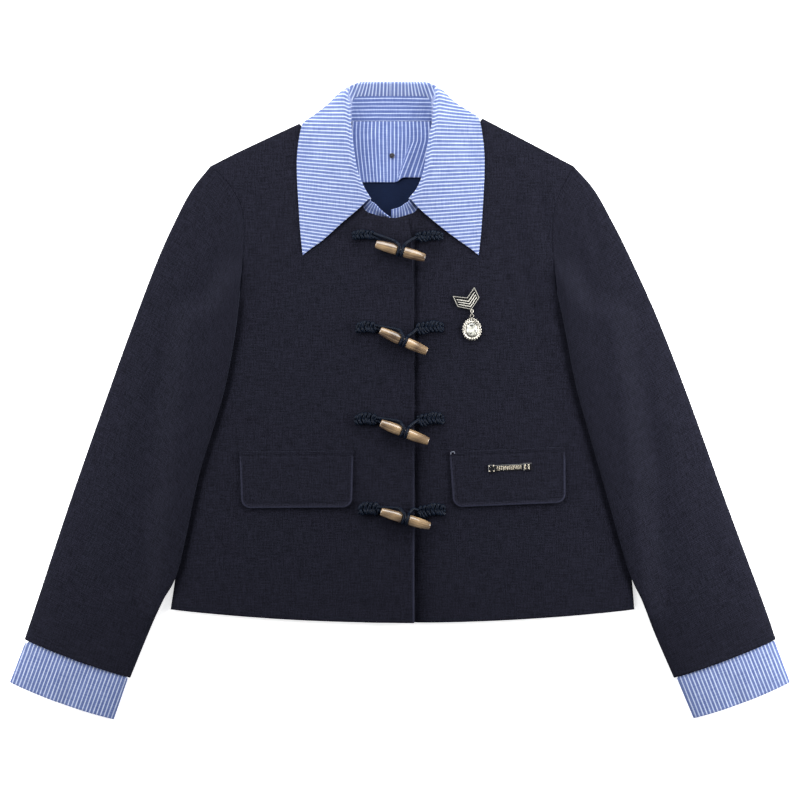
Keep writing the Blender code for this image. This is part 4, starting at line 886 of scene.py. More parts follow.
# Its outline from the stand down: y, half width
DICKEY = ((300.4, 40.4), (288.0, 41.2), (277.0, 40.8), (266.0, 39.8), (250.0, 37.6),
          (237.0, 35.6))
DICKEY_CLOTH, DICKEY_GAP = 1.0, 0.45
DICKEY_STEP = (-2.2, 5.2, -6.0, 11.0)  # change of its lower edge, the step in it, its x and width
DICKEY_WAVE, WAVE_X = 0.45, -26.0  # a soft swell that runs down it
PLEAT = ((-3.6, 236.0), (11.2, 279.0), (17.5, 298.0))  # its fold, upwards
PLEAT_LIFT = 1.6

outline = finer(DICKEY, 8)
across = np.linspace(-1, 1, 97)
plan = paired(COLLAR_X + outline[:, 1:] * across, outline[:, :1])
for sign in (-1, 1):
    reach = sign * (plan[..., 0] - COLLAR_X)
    plan[..., 0] += sign * np.where(reach > 0, spread(reach, plan[..., 1], sign), 0)
low, step, step_x, step_width = DICKEY_STEP
lower_edge = low + step * ramp(plan[-1, :, 0], step_x, step_x + step_width)
plan[..., 1] += ramp(plan[..., 1], 262, 237) * lower_edge
# Right of the fold more and more of the cloth lies tucked under it towards the lower edge
pleat = np.array(PLEAT)
past_fold = -beside(plan, pleat)[0]
tucked = np.clip(pleat[1, 0] - np.interp(plan[..., 1], pleat[:, 1], pleat[:, 0]), 0, None)
soft = PLEAT_LIFT * ramp(past_fold, -0.6, 0.9) * bell(past_fold - 0.9, 8.0) * ramp(tucked, 0, 6)
soft += DICKEY_WAVE * bell(plan[..., 0] - WAVE_X, 6.0) * ramp(plan[..., 1], 285, 250)
height = back_top(plan) + DICKEY_GAP + DICKEY_CLOTH + soft
tucked *= ramp(past_fold, -0.4, 0.4) * (0.45 + 0.55 * bell(past_fold, 14.0))
stripe = (plan[..., 0] - COLLAR_X) * DICKEY[0][1] / outline[:, 1:] + tucked
# The flap's cloth is the poplin painted darker, as painted shade
dickey = new_cloth("shirting_flap", lifted(plan, height), paired(stripe, plan[..., 1]),
                   DICKEY_CLOTH, shaded_poplin)
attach(dickey, "garment")
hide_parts("dickey_flap")

# The stud from its rim to the top of its pin: height, radius
SNAP_PROFILE = ((0.0, 2.7), (0.35, 2.8), (0.7, 2.6), (1.0, 2.1), (0.5, 1.6), (0.4, 1.2),
                (1.2, 1.0), (1.5, 0.7), (1.5, 0.25))
SNAP_LOWER = 1.2  # how far towards the hem it sits in its place


def oxidised_gunmetal():
    """Brass, blackened in a bath: a dark grey with a dull shine and paler rubbed patches."""
    material = new_material("oxidised_gunmetal", Metallic=1.0, Roughness=0.4)
    _, colour = mottled(material, "#121216", "#5a585c", Scale=1200.0, Detail=2.0)
    return surfaced(material, Base_Color=colour)


def angles(count):
    """Equal steps once round a circle."""
    return np.arange(count) * 2 * np.pi / count


def capped(rings, clockwise=False):
    """Points and faces of a tube of rings with a flat cap at each end. Looked at from beyond the
    last ring, the rings' points run counter-clockwise, or clockwise when that is given."""
    index = numbered(*rings.shape[:2])
    if clockwise:
        index = index[:, ::-1]
    faces = quads(np.hstack([index, index[:, :1]])).tolist()
    return rings.reshape(-1, 3), faces + [index[0, ::-1].tolist(), index[-1].tolist()]


def turned(outline, sides, middle, axis=(0, 0, 1), first=(1, 0, 0), scallops=None):
    """Points and faces of a shape turned about an axis: a ring for each (distance along the axis,
    radius) of the outline, with a flat cap at each end. Scallops are a share of the radius by
    which each ring swells and sinks as it goes round, and how many times."""
    axis, first = np.asarray(axis, float), np.asarray(first, float)
    outline = np.asarray(outline, float)
    angle, radius = angles(sides), np.broadcast_to(outline[:, 1:2], (len(outline), sides))
    if scallops is not None:
        depth, times = scallops
        radius = radius * (1 + np.asarray(depth).reshape(-1, 1) * np.cos(times * angle))
    circle = np.cos(angle)[:, None] * first + np.sin(angle)[:, None] * np.cross(axis, first)
    return capped(np.asarray(middle) + outline[:, :1, None] * axis + radius[..., None] * circle)


def box_of(node):
    """The lowest and highest corners of a node in millimetres."""
    return [np.array(corner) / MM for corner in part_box(node)]


low, high = box_of("snap")
snap_middle = (low + high) / 2 * (1, 1, 0) + (0, -SNAP_LOWER, low[2])
snap = new_piece("snap_stud", *turned(SNAP_PROFILE, 40, snap_middle), oxidised_gunmetal())
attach(snap, "garment")
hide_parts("snap")


# ---------------------------------------------------------------- pocket flaps
# A flap of the twill over each hip, set into a narrow welt. The cloth is turned in along its
# sides and lower edge, which leaves a raised rim, and its lower corners are rounded.

# Middle of the top edge, turn in degrees, width, depth
FLAPS = {
    "right": ((-111.5, -55.0), 0.5, 123.0, 61.0),
    "left": ((115.3, -53.0), 2.4, 125.0, 60.0),
}
FLAP_CORNER, FLAP_TAPER, FLAP_CLOTH = 10.0, 2.0, 1.8
# Distances in from the edge and heights: the raised rim, the groove inside it, and the welt's,
# which runs across below the top edge
FLAP_RIM, RIM_HEIGHT, FLAP_GROOVE, GROOVE_DEPTH = 1.7, 0.75, 4.4, 0.42
FLAP_WELT, WELT_DEPTH = 5.0, 0.65
# Rise of the lower edge off the front, of the outer end, and of the waves between
FLAP_LIFT, FLAP_END_LIFT, FLAP_WAVE = 1.5, 0.7, 0.25


def turn_plan(points, degrees, place):
    """Plan points turned counter-clockwise about the origin and moved to their place."""
    angle, points = math.radians(degrees), np.asarray(points, float)
    x = points[..., 0] * math.cos(angle) - points[..., 1] * math.sin(angle)
    y = points[..., 0] * math.sin(angle) + points[..., 1] * math.cos(angle)
    return paired(x + place[0], y + place[1])


for side, (place, degrees, width, depth) in FLAPS.items():
    turn = np.linspace(0, np.pi / 2, 13)
    depths = np.concatenate([np.linspace(0, depth - FLAP_CORNER, 42)[:-1],
                             depth - FLAP_CORNER * (1 - np.sin(turn))])
    half = width / 2 - FLAP_TAPER * depths / depth
    half[-len(turn):] -= FLAP_CORNER * (1 - np.cos(turn))
    flat = paired(half[:, None] * np.linspace(-1, 1, 97), -depths[:, None])
    rim_line = joined(flat[:, 0], flat[-1], flat[::-1, -1])
    inside = np.abs(beside(flat, rim_line[::2])[0])
    down = -flat[..., 1]
    x = flat[..., 0]
    relief = RIM_HEIGHT * bell(inside - FLAP_RIM, 1.5)
    relief -= GROOVE_DEPTH * bell(inside - FLAP_GROOVE, 0.9)
    relief *= ramp(down, FLAP_WELT, FLAP_WELT + 3)
    relief -= WELT_DEPTH * bell(down - FLAP_WELT, 0.9)
    relief += FLAP_WAVE * np.sin(x / 15.0 + 1.0) * ramp(down, 8, 40) * ramp(inside, 3, 12)
    relief += FLAP_LIFT * ramp(down, 0.3 * depth, depth) * (0.75 + 0.25 * np.sin(x / 21.0))
    relief += FLAP_END_LIFT * ramp(x, 0.2 * width, 0.5 * width) * ramp(down, 6, 20)
    plan = turn_plan(flat, degrees, place)
    top = body_top(plan) + SEAM + FLAP_CLOTH + relief
    flap = new_cloth(f"wool_flap_{side}", lifted(plan, top), flat, FLAP_CLOTH, wool)
    # A painted highlight along the flap's sides and lower edge
    paint_edge_highlight(flap, 0.35 * bell(inside - 0.9, 0.8) * ramp(down, 2, 14))
    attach(flap, "garment")
    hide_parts(f"flap_{side}")


# ---------------------------------------------------------------- toggles
# Four toggles turned from horn: each tapers from a grooved waist to two sawn ends, and is
# polished, with the growth of the horn showing as streaks along it.

FASTENINGS = range(1, 5)  # from the top
TOGGLE_SIDES = 40
TOGGLE_ROUND = 31.0  # once round it
# Half of a toggle's outline: distance from its middle, radius
TOGGLE_OUTLINE = ((0.0, 3.2), (2.9, 3.25), (3.5, 3.8), (3.9, 5.0), (4.3, 5.4), (5.2, 5.5),
                  (9.0, 5.55), (14.0, 5.45), (19.0, 5.1), (23.0, 4.65), (26.0, 4.15),
                  (27.0, 3.9), (27.5, 3.5))


def polished_horn():
    """Cattle horn, turned and buffed: tan and brown layers along its length, darker pores, and a
    clear polish that takes long narrow highlights."""
    material = new_material(
        "polished_horn", Roughness=0.45, Specular_IOR_Level=0.3, Coat_Weight=1.0,
        Coat_Roughness=0.07, Coat_IOR=1.65)
    grain = add_node(material, "UVMap", uv_map="cut")["UV"]
    layers = streaks(material, grain, [(22, 700)], Detail=3.0, Distortion=0.3)
    cloud = add_node(material, "TexNoise", {"Vector": grain, "Scale": 60.0, "Detail": 1.0},
                     noise_dimensions="2D")["Fac"]
    shade = add_node(material, "Math", {0: layers, 1: cloud}, operation="ADD")[0]
    shade = add_node(material, "MapRange", {"Value": shade, "From Min": 0.7, "From Max": 1.3})[0]
    colour = add_node(material, "Mix", {0: shade, 6: linear("#402f20"), 7: linear("#937a59")},
                      data_type="RGBA")[2]
    pores = streaks(material, grain, [(60, 1500)], Detail=2.0)
    pores = add_node(material, "MapRange", {"Value": pores, "From Min": 0.62, "From Max": 0.80})[0]
    pores = add_node(material, "Math", {0: pores, 1: 0.35}, operation="MULTIPLY")[0]
    colour = add_node(material, "Mix", {0: pores, 6: colour, 7: linear("#30241b")},
                      data_type="RGBA")[2]
    bump = add_node(material, "Bump", {"Height": layers, "Strength": 0.2, "Distance": 0.0002})
    return surfaced(material, Base_Color=colour, Normal=bump["Normal"])


horn = polished_horn()


def lie_of(node):
    """The middle of a node in millimetres, the level direction that it is longest in, towards the
    wearer's left, and half its length that way."""
    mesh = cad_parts[node].data
    points = np.empty(len(mesh.vertices) * 3, np.float32)
    mesh.vertices.foreach_get("co", points)
    points = points.reshape(-1, 3).astype(float) / MM
    middle = (points.min(axis=0) + points.max(axis=0)) / 2
    run = np.append(np.linalg.eigh(np.cov((points - middle)[:, :2].T))[1][:, -1], 0.0)
    run *= np.sign(run[0])
    reach = (points - middle) @ run
    middle = middle + (reach.max() + reach.min()) / 2 * run
    return middle, run, (reach.max() - reach.min()) / 2


for number in FASTENINGS:
    middle, run, half = lie_of(f"toggle_{number}")
    fine = through(TOGGLE_OUTLINE, np.linspace(0, len(TOGGLE_OUTLINE) - 1, 45))
    outline = np.vstack([fine[:0:-1] * (-1, 1), fine])
    points, faces = turned(outline, TOGGLE_SIDES, middle, run, np.cross((0, 0, 1.0), run))
    # Each toggle is cut from its own place in the horn, with its round laid out flat
    rolled_out = paired(outline[:, :1] + 40.0 * number,
                        np.linspace(0, TOGGLE_ROUND, TOGGLE_SIDES + 1))
    corners = quads(numbered(*rolled_out.shape[:2])).ravel()
    sawn = np.full((2 * TOGGLE_SIDES, 2), (40.0 * number + 30.0, 5.0))
    places = np.concatenate([rolled_out.reshape(-1, 2)[corners], sawn])
    toggle = new_piece(f"horn_toggle_{number}", points, faces, horn, places)
    toggle.data.set_sharp_from_angle(angle=math.radians(50))
    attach(toggle, "garment")
    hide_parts(f"toggle_{number}")


# ---------------------------------------------------------------- frogs and cords
# Round braided cord in a blue-black. At each fastening a length of it is plaited and sewn flat on
# each front: the right plait holds a loop round the toggle's waist, the left one ties it on.

CORD_RADIUS, BRAID_PITCH, BRAID_RELIEF = 1.75, 4.4, 0.16
# Cord routes from a toggle's middle: along it, across it towards the collar, above it
LOOP_ABOVE = ((-11.0, 8.6, -0.6), (-6.0, 7.0, 3.6))
LOOP_ROUTE = ((-3.0, 5.0, 5.6), (-1.75, 2.6, 5.6), (-1.75, -0.6, 5.3), (-1.75, -3.4, 4.1),
              (-1.75, -5.1, 1.2), (-1.75, -4.8, -2.2), (-1.9, -2.6, -5.2))
LOOP_BELOW = ((-4.6, -0.4, -7.0), (-12.0, 3.0, -7.0))
LOOP_ENDS = ((0, 1.7, 0), (0, -1.8, 0))  # beside each other under the plait's end
TAIL_ROUTE = ((1.75, 5.2, 0.6), (1.75, 4.0, 3.6), (1.75, 0.6, 5.3), (1.75, -3.0, 4.4),
              (1.75, -5.1, 1.2), (1.75, -4.6, -2.6), (1.75, -1.4, -5.2))
TAIL_ABOVE = ((5.4, 12.4, -5.2), (2.4, 7.6, -2.4))
PLAIT_PITCH, PLAIT_LIFT, PLAIT_ABOVE, STRAND_RADIUS = 11.5, 1.0, 0.4, 1.9
PLAIT_REACHES = (3.8, 4.9, 5.1, 5.3)  # half its width at each fastening, from the top


def braided_cord():
    """Rayon cord braided over a core: blue-black, with a silky thread sheen on each crossing."""
    material = new_material("braided_rayon_cord", Roughness=0.45, Specular_IOR_Level=0.10)
    fibres, colour = mottled(material, "#010309", "#091526", span=(0.35, 0.7), Scale=1100.0,
                             Detail=2.0)
    bump = add_node(material, "Bump", {"Height": fibres, "Strength": 0.8, "Distance": 0.0004})
    return surfaced(material, Base_Color=colour, Normal=bump["Normal"])


cord_material = braided_cord()


def braided(route, radius, sides=14, step=0.5):
    """Points and faces of a braided cord along a route. Each ring's directions are carried on
    from the ring before with the least turn. The radius swells where two sets of threads, wound
    opposite ways, cross, and both ends are rounded off."""
    rough_path = through(route, np.linspace(0, len(route) - 1, 300))
    length = np.linalg.norm(np.diff(rough_path, axis=0), axis=1).sum()
    count = int(length / step)
    path = smooth(route, even(count))
    run = unit(np.gradient(path, axis=0))
    sidewards = np.empty_like(run)
    last = np.cross(run[0], (0.0, 0.0, 1.0))
    for station, direction in enumerate(run):
        last = unit(last - (last @ direction) * direction)
        sidewards[station] = last
    upwards = np.cross(sidewards, run)
    s, angle = length * even(count)[:, None], angles(sides)
    wind = 2 * np.pi * s / BRAID_PITCH
    threads = np.sqrt(np.abs(np.cos(2 * angle + wind) * np.cos(2 * angle - wind)))
    to_end = np.clip(np.minimum(s, length - s) / radius, 0, 1)
    swelling_out = 1 - BRAID_RELIEF + BRAID_RELIEF * threads
    r = radius * swelling_out * np.sqrt(1 - (1 - to_end) ** 2 * 0.98)
    out = np.cos(angle)[:, None] * sidewards[:, None] + np.sin(angle)[:, None] * upwards[:, None]
    return capped(path[:, None] + r[..., None] * out, clockwise=True)


def gathered(parts):
    """Several lots of points and faces as one."""
    points, faces, count = [], [], 0
    for part_points, part_faces in parts:
        points.append(part_points)
        faces += [[corner + count for corner in face] for face in part_faces]
        count += len(part_points)
    return np.concatenate(points), faces


def plaited(middle, run, half, level, reach, number):
    """Three strands of a flat plait: each swings from side to side once a pitch and dips under
    and over twice as often, a third of a pitch behind the next, and they draw together at its
    ends. No two plaits are pulled quite alike."""
    across = np.cross((0, 0, 1.0), run)
    s = np.linspace(-half + 0.8, half - 0.8, 60)
    drawn = reach * np.clip((half - np.abs(s)) / 4.0, 0, 1) ** 0.5
    strands = []
    for strand in range(3):
        phase = 2 * np.pi * (s / PLAIT_PITCH + strand / 3 + 0.19 * number)
        phase += 0.55 * np.sin(s / 4.3 + 1.9 * strand + 0.7 * number)
        swing = drawn * (1 + 0.24 * np.sin(s / 2.9 + 2.1 * strand + 1.3 * number)) * np.sin(phase)
        place = middle[:2] + s[:, None] * run[:2] + swing[:, None] * across[:2]
        strands.append(lifted(place, level + PLAIT_LIFT * np.sin(2 * phase)))
    return gathered([braided(strand, STRAND_RADIUS, sides=12, step=0.6) for strand in strands])


for number in FASTENINGS:
    middle, run, half = lie_of(f"toggle_{number}")
    across, up = np.cross((0, 0, 1.0), run), np.array((0, 0, 1.0))
    ends = {}
    for side, sign in SIDES.items():
        frog_middle, frog_run, frog_half = lie_of(f"frog_{side}_{number}")
        level = float(body_top(frog_middle[None, :2])[0]) + SEAM + STRAND_RADIUS + PLAIT_ABOVE
        frog = new_piece(f"cord_plait_{side}_{number}",
                         *plaited(frog_middle, frog_run, frog_half + 0.8, level,
                                  PLAIT_REACHES[number - 1], number + 4 * sign), cord_material)
        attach(frog, "garment")
        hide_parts(f"frog_{side}_{number}")
        ends[side] = (*(frog_middle - sign * (frog_half - 1.5) * frog_run)[:2], level)
    bend = np.array([run, across, up])
    upper, lower = ends["right"] + np.array(LOOP_ENDS)
    loop = np.vstack([upper, middle + np.array(LOOP_ABOVE + LOOP_ROUTE + LOOP_BELOW) @ bend, lower])
    tail = np.vstack([ends["left"], middle + np.array(TAIL_ABOVE + TAIL_ROUTE) @ bend])
    for kind, route in (("loop", loop), ("tail", tail)):
        piece = new_piece(f"cord_{kind}_{number}", *braided(route, CORD_RADIUS), cord_material)
        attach(piece, "garment")
        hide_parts(f"{kind}_{number}")


# A bar tack of paler thread holds the inner upper corner of the left flap: its route on the flap
TACK = ((-60.9, -3.6), (-60.7, -1.4), (-59.4, -0.4), (-57.2, -0.6), (-56.6, -2.6))
TACK_RADIUS, TACK_ABOVE = 0.7, 0.5


def polyester_thread():
    """Spun polyester, paler than the cloth, with a soft gloss and its plies just showing."""
    material = new_material("pale_polyester_thread", Roughness=0.6)
    _, colour = mottled(material, "#20222c", "#5b5f6e", Scale=2200.0, Detail=1.0)
    return surfaced(material, Base_Color=colour)


place, degrees, *_ = FLAPS["left"]
tack_plan = turn_plan(TACK, degrees, place)
tack_top = body_top(tack_plan) + SEAM + FLAP_CLOTH + TACK_ABOVE
tack = new_piece("flap_bar_tack", *braided(lifted(tack_plan, tack_top), TACK_RADIUS, sides=10,
                                           step=0.3), polyester_thread())
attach(tack, "garment")


# ---------------------------------------------------------------- bar
# A small stamped brass bar on the left flap, held by a square clip at each end. Bar and clips are
# filled with black enamel, from which plain ribs, claws and two upright bars stand out.

BAR_HALF_WIDTH, BAR_END = 3.3, 1.5  # the ribs stop this far from each end
RIB_COUNT, RIB_HALF_WIDTH, RIB_HALVES = 13, 2.1, (0.58, 0.42, 0.72, 0.50)
# Each clip's well: its shift and half its length. Its claws: half their length and width, and
# their places along and across. The first has one at each corner, the second two upright bars.
CLIPS = (
    (0.0, 3.3, (0.5, 0.6), ((-2.3, -2.7), (2.3, -2.7), (2.3, 2.7), (-2.3, 2.7))),
    (1.0, 4.3, (0.75, 2.6), ((-1.9, 0.0), (1.9, 0.0))),
)
CLIP_HALF_WIDTH = 3.9


def worn_metal(name, dull, bright, smoothest, roughest, **noise):
    """Metal whose colour goes from dull to bright, and its gloss from the smoothest to the
    roughest, in the same small patches."""
    material = new_material(name, Metallic=1.0)
    patches, colour = mottled(material, dull, bright, **noise)
    rough = add_node(material, "MapRange", {
        "Value": patches, "To Min": smoothest, "To Max": roughest})["Result"]
    return surfaced(material, Base_Color=colour, Roughness=rough)


# Pale gold-washed brass, stamped and tumbled: bright edges and a slightly mottled gloss
brass = worn_metal("gold_washed_brass", "#8f8775", "#eee5d2", 0.2, 0.4, Scale=700.0, Detail=2.0)


def black_enamel():
    """Black enamel, fired or cold-set and level with its rim, with a wet gloss and fine dust."""
    material = new_material("black_enamel", Roughness=0.12, Coat_Weight=0.5)
    _, colour = mottled(material, "#07070a", "#1a1a1e", span=(0.5, 0.8), Scale=2500.0, Detail=2.0)
    return surfaced(material, Base_Color=colour)


enamel = black_enamel()


def slab(outline, levels):
    """Points and faces of a plate: the plan outline, moved inwards by each level's first number,
    at the height of its second, with the first and last levels closed."""
    outline = np.asarray(outline, float)
    before, after = unit(outline - np.roll(outline, 1, 0)), unit(np.roll(outline, -1, 0) - outline)
    inward = paired(-(before + after)[:, 1], (before + after)[:, 0])
    inward /= (1 + (before * after).sum(axis=1))[:, None]
    return capped(np.stack([lifted(outline + distance * inward, height)
                            for distance, height in levels]))


def rectangle(middle, run, half_length, half_width, place=(0, 0)):
    """Four corners of a rectangle, counter-clockwise, at a place along and across a run."""
    corners = np.array(((-1, -1), (1, -1), (1, 1), (-1, 1))) * (half_length, half_width)
    return middle[:2] + (corners + place) @ np.array((run[:2], (-run[1], run[0])))


bar_middle, bar_run, bar_half = lie_of("bar_strip")
low, high = box_of("bar_strip")
ground = slab(rectangle(bar_middle, bar_run, bar_half, BAR_HALF_WIDTH),
              ((0, low[2]), (0, high[2] - 0.35), (0.35, high[2] - 0.1)))
ribs = []
for rib in range(RIB_COUNT):
    place = ((rib + 0.5) / RIB_COUNT * 2 - 1) * (bar_half - BAR_END)
    half_length = RIB_HALVES[rib % len(RIB_HALVES)]
    ribs.append(slab(rectangle(bar_middle, bar_run, half_length, RIB_HALF_WIDTH, (place, 0)),
                     ((0, high[2] - 0.4), (0.05, high[2] + 0.1), (0.25, high[2] + 0.3))))
bar = new_piece("bar_ground", *ground, enamel, flat=True)
bar_ribs = new_piece("gilt_ribs", *gathered(ribs), brass, flat=True)
for piece, slot in ((bar, "black_enamel"), (bar_ribs, "brass")):
    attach(piece, "garment")
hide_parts("bar_strip")
for number, (shift, half_length, claw_size, places) in enumerate(CLIPS, start=1):
    low, high = box_of(f"bar_clip_{number}")
    middle = (low + high) / 2
    well = slab(rectangle(middle, bar_run, half_length, CLIP_HALF_WIDTH, (shift, 0)),
                ((0, low[2]), (0, high[2] - 0.5), (0.3, high[2] - 0.2)))
    claws = [slab(rectangle(middle, bar_run, *claw_size, place),
                  ((0, high[2] - 0.6), (0, high[2] - 0.1), (0.25, high[2] + 0.15)))
             for place in places]
    well_piece = new_piece(f"clip_well_{number}", *well, enamel, flat=True)
    claw_piece = new_piece(f"gilt_claws_{number}", *gathered(claws), brass, flat=True)
    for piece, slot in ((well_piece, "black_enamel"), (claw_piece, "brass")):
        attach(piece, "garment")
    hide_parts(f"bar_clip_{number}")


# ---------------------------------------------------------------- brooch
# A cast chevron with black enamel in a raised plated rim and three plain bars across it, pinned
# to the left breast. A ring hangs from its lower point.

# The plate's corners from the notch at its middle, counter-clockwise, and its place and turn
CHEVRON = ((-14.0, 7.2), (-13.1, -5.6), (-0.3, -13.8), (12.3, -4.7), (11.2, 7.8), (0, 0))
BROOCH_PLACE, BROOCH_TURN = (72.2, 110.1), 21.0
HOOK_RADIUS, HOOK_WIRE, RING_RADIUS, RING_WIRE = 1.5, 0.4, 2.6, 0.36
# The bars' upper edges and thickness, as shares of the way down, and how far their bends are eased
BARS, BAR_SHARE, BAR_EASE = (0.27, 0.49, 0.71), 0.085, 0.18

# Nickel plate on zinc casting metal, bright on the wire, and on the plate brushed to a satin
nickel = worn_metal("nickel_plate", "#57554f", "#d6d2c6", 0.18, 0.42, Scale=900.0, Detail=3.0)
satin = worn_metal("satin_nickel", "#86847c", "#eeebe0", 0.45, 0.60, Scale=900.0, Detail=3.0)


def wire_ring(middle, radius, wire, first, second, turns=48, sides=14):
    """Points and faces of a ring of round wire in the plane of two directions."""
    middle, first, second = (np.asarray(value, float) for value in (middle, first, second))
    turn, roll = angles(turns)[:, None, None], angles(sides)[None, :, None]
    out = np.cos(turn) * first + np.sin(turn) * second
    points = middle + out * (radius + wire * np.cos(roll))
    points = points + np.cross(first, second) * wire * np.sin(roll)
    index = numbered(turns, sides, closed=True)
    faces = quads(np.vstack([index, index[:1]]))[:, ::-1].tolist()
    return points.reshape(-1, 3), faces


low, high = box_of("brooch_plate")
ring_low, ring_high = box_of("jump_ring")
ring_middle = (ring_low + ring_high) / 2
hook = ring_middle + (0, RING_RADIUS, 0)
outline = turn_plan(CHEVRON, BROOCH_TURN, BROOCH_PLACE)
top = high[2]
rim = slab(outline, ((0, low[2]), (0, top - 0.3), (0.2, top), (0.65, top), (0.85, top - 0.35),
                     (0.85, top - 0.6)))
rim_piece = new_piece("brooch_rim", *gathered([
    rim, wire_ring(hook, HOOK_RADIUS, HOOK_WIRE, (1, 0, 0), (0, 1, 0))]), satin)
rim_piece.data.set_sharp_from_angle(angle=math.radians(40))
field = new_piece("brooch_enamel", *slab(outline, ((0.8, top - 0.8), (0.8, top - 0.36),
                                                   (1.1, top - 0.3))), enamel, flat=True)
bars = []
upper_line, lower_line = outline[[0, 5, 4]], outline[[1, 2, 3]]
for share in BARS:
    edges = []
    for part in (share, share + BAR_SHARE):
        bend = upper_line + part * (lower_line - upper_line)
        edges.append(bend + BAR_EASE * (bend[[1]] - bend))
    bars.append(slab(np.vstack([edges[0][::-1], edges[1]]),
                     ((0, top - 0.5), (0.05, top - 0.12), (0.25, top))))
bars_piece = new_piece("brooch_bars", *gathered(bars), satin, flat=True)
for piece, slot in ((rim_piece, "silver"), (field, "black_enamel"), (bars_piece, "silver")):
    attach(piece, "garment")
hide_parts("brooch_plate")

jump_ring = new_piece("brooch_ring", *wire_ring(ring_middle, RING_RADIUS, RING_WIRE,
                                                (0, 1, 0), (0, 0, 1)), nickel)
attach(jump_ring, "ring")
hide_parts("jump_ring")


# ---------------------------------------------------------------- medallion
# A cast setting, a little longer than wide, with a gadrooned rim and an eye at its top. A
# foil-backed rhinestone with a plain flat table is cemented in it.

# Height above the middle of the setting, radius, depth of the gadroons
SETTING = ((-1.4, 9.4, 0.0), (-1.4, 10.1, 0.02), (-1.0, 10.5, 0.035), (0.2, 10.7, 0.04),
           (0.8, 10.5, 0.045), (1.2, 10.0, 0.05), (1.3, 9.3, 0.06), (1.0, 8.5, 0.06),
           (0.7, 7.8, 0.0), (1.2, 7.2, 0.0), (1.2, 6.8, 0.0), (0.3, 6.6, 0.0))
GADROONS = 24
EYE_RADIUS, EYE_WIRE = 1.75, 0.5
# The oval's size as a share of the circle's, how much narrower it is at the top, and its drop
OVAL, OVAL_TAPER, OVAL_DROP = (0.97, 1.13, 1.0), 0.06, 1.9
STONE = ((0.3, 6.5), (0.9, 6.5), (1.9, 5.9), (2.7, 4.4), (3.1, 2.6))  # height, radius
STONE_SIDES = 12


def rhinestone():
    """Lead glass, cut and backed with foil, under a hard gloss. The light that the foil throws back
    is painted into its colour: nearly white, with a darker or lighter tone to each facet as painted
    reflections."""
    material = new_material("foiled_rhinestone", Roughness=0.06, IOR=1.6, Coat_Weight=1.0,
                            Coat_Roughness=0.03)
    place = add_node(material, "TexCoord")["Object"]
    # Painted reflections: facet-sized patches painted lighter or darker
    painted_reflections = add_node(material, "TexVoronoi", {"Vector": place, "Scale": 420.0})["Color"]
    tone = add_node(material, "SeparateXYZ", {0: painted_reflections})["X"]
    colour = add_node(material, "Mix", {0: tone, 6: linear("#3a3b35"), 7: linear("#d4d4c8")},
                      data_type="RGBA")[2]
    return surfaced(material, Base_Color=colour)


def hung(points, faces):
    """A part of the setting drawn out from a circle to an oval that hangs below the eye."""
    out = (points - middle) * OVAL
    out[:, 0] *= 1 - OVAL_TAPER * np.clip(out[:, 1] / 10.0, -1, 1)
    return middle - (0, OVAL_DROP, 0) + out, faces


low, high = box_of("medallion_stone")
middle = (low + high) / 2 * (1, 1, 0) + (0, 0, high[2] - STONE[-1][0])
fine = through(SETTING, np.linspace(0, len(SETTING) - 1, 40))
rim = hung(*turned(fine[:, :2], 208, middle, scallops=(fine[:, 2], GADROONS)))
eye = wire_ring(ring_middle - (0, RING_RADIUS, 0), EYE_RADIUS, EYE_WIRE, (1, 0, 0), (0, 1, 0))
setting = new_piece("medallion_rim", *gathered([rim, eye]), nickel)
setting.data.set_sharp_from_angle(angle=math.radians(50))
stone = new_piece("medallion_rhinestone", *hung(*turned(STONE, STONE_SIDES, middle)), rhinestone(),
                  flat=True)
for piece, node, slot in ((setting, "medallion_setting", "silver"),
                          (stone, "medallion_stone", "crystal")):
    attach(piece, "medallion")
    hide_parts(node)


# ---------------------------------------------------------------- light, floor and camera
# A matt opal table top, lit faintly from below, under a wide overcast-like light. One large soft
# lamp up and to the left and three low ones give the cloth's edges their short shadows. The
# camera looks straight down.

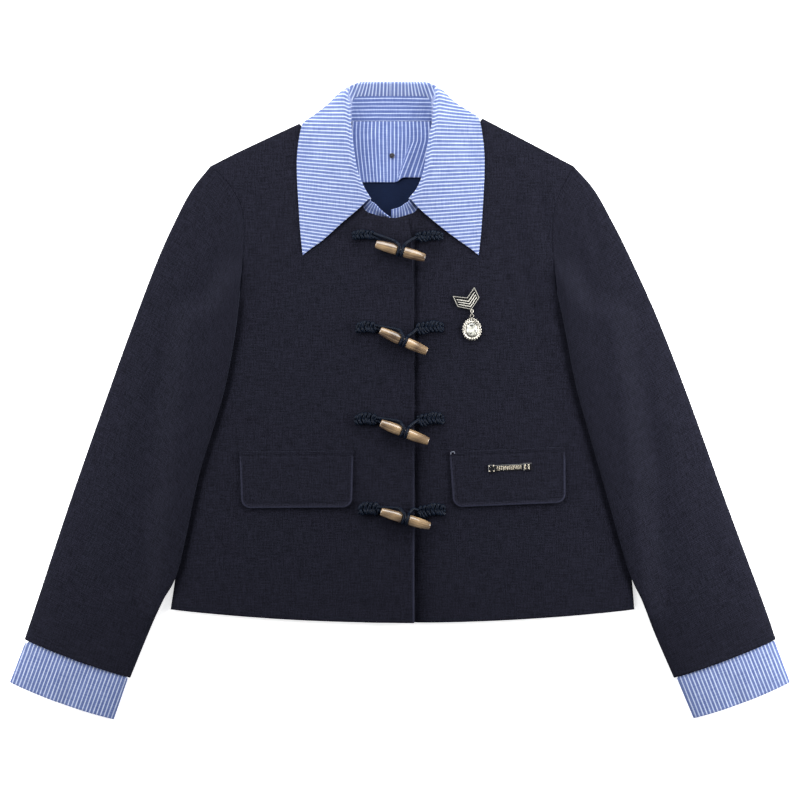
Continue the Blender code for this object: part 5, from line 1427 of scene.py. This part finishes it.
VIEW_WIDTH, LENS, CAMERA_HEIGHT = 864.0, 100.0, 2400.0
FLOOR_HALF, FLOOR_BELOW = 6000.0, 0.05
# Name, place, aim, width in metres, watts
LAMPS = (
    ("key_from_upper_left", (-1.9, 1.5, 2.0), (0, 0, 0), 1.1, 31.0),
    ("low_from_right", (0.72, 0.05, 0.25), (0.3, 0, 0), 0.6, 11.8),
    ("low_from_top", (0.0, 0.72, 0.30), (0, 0.3, 0), 0.7, 9.5),
    ("low_from_left", (-0.75, 0.05, 0.26), (-0.3, 0, 0), 0.6, 7.5),
)


def opal_acrylic():
    """Cast opal acrylic, finely matted and lit from below, nearly white all over."""
    material = new_material("opal_acrylic", Roughness=0.95, Specular_IOR_Level=0.1,
                            Emission_Color=linear("#ffffff"), Emission_Strength=0.60)
    _, colour = mottled(material, "#f4f4f4", "#fafafa", Scale=300.0)
    return surfaced(material, Base_Color=colour)


corners = np.array(((-1, -1, 0), (1, -1, 0), (1, 1, 0), (-1, 1, 0))) * FLOOR_HALF
floor = new_piece("white_table_top", corners - (0, 0, FLOOR_BELOW), [[0, 1, 2, 3]], opal_acrylic())

scene = bpy.context.scene
scene.world = bpy.data.worlds.new("overcast")
scene.world.use_nodes = True
sky = scene.world.node_tree.nodes["Background"]
sky.inputs["Color"].default_value = linear("#f8f9ff")
sky.inputs["Strength"].default_value = 0.240
for name, place, aim, width, watts in LAMPS:
    lamp = bpy.data.lights.new(name, "AREA")
    lamp.size, lamp.energy = width, watts
    lamp_object = bpy.data.objects.new(name, lamp)
    lamp_object.location = place
    towards = mathutils.Vector(aim) - lamp_object.location
    lamp_object.rotation_euler = towards.to_track_quat("-Z", "Y").to_euler()
    scene.collection.objects.link(lamp_object)

camera = bpy.data.cameras.new("camera")
camera.lens = LENS
camera.sensor_width = VIEW_WIDTH * LENS / CAMERA_HEIGHT
camera_object = bpy.data.objects.new("camera", camera)
camera_object.location = (0, 0, CAMERA_HEIGHT * MM)
scene.collection.objects.link(camera_object)
scene.camera = camera_object
scene.view_settings.view_transform = "Standard"  # colours leave the scene as they are given
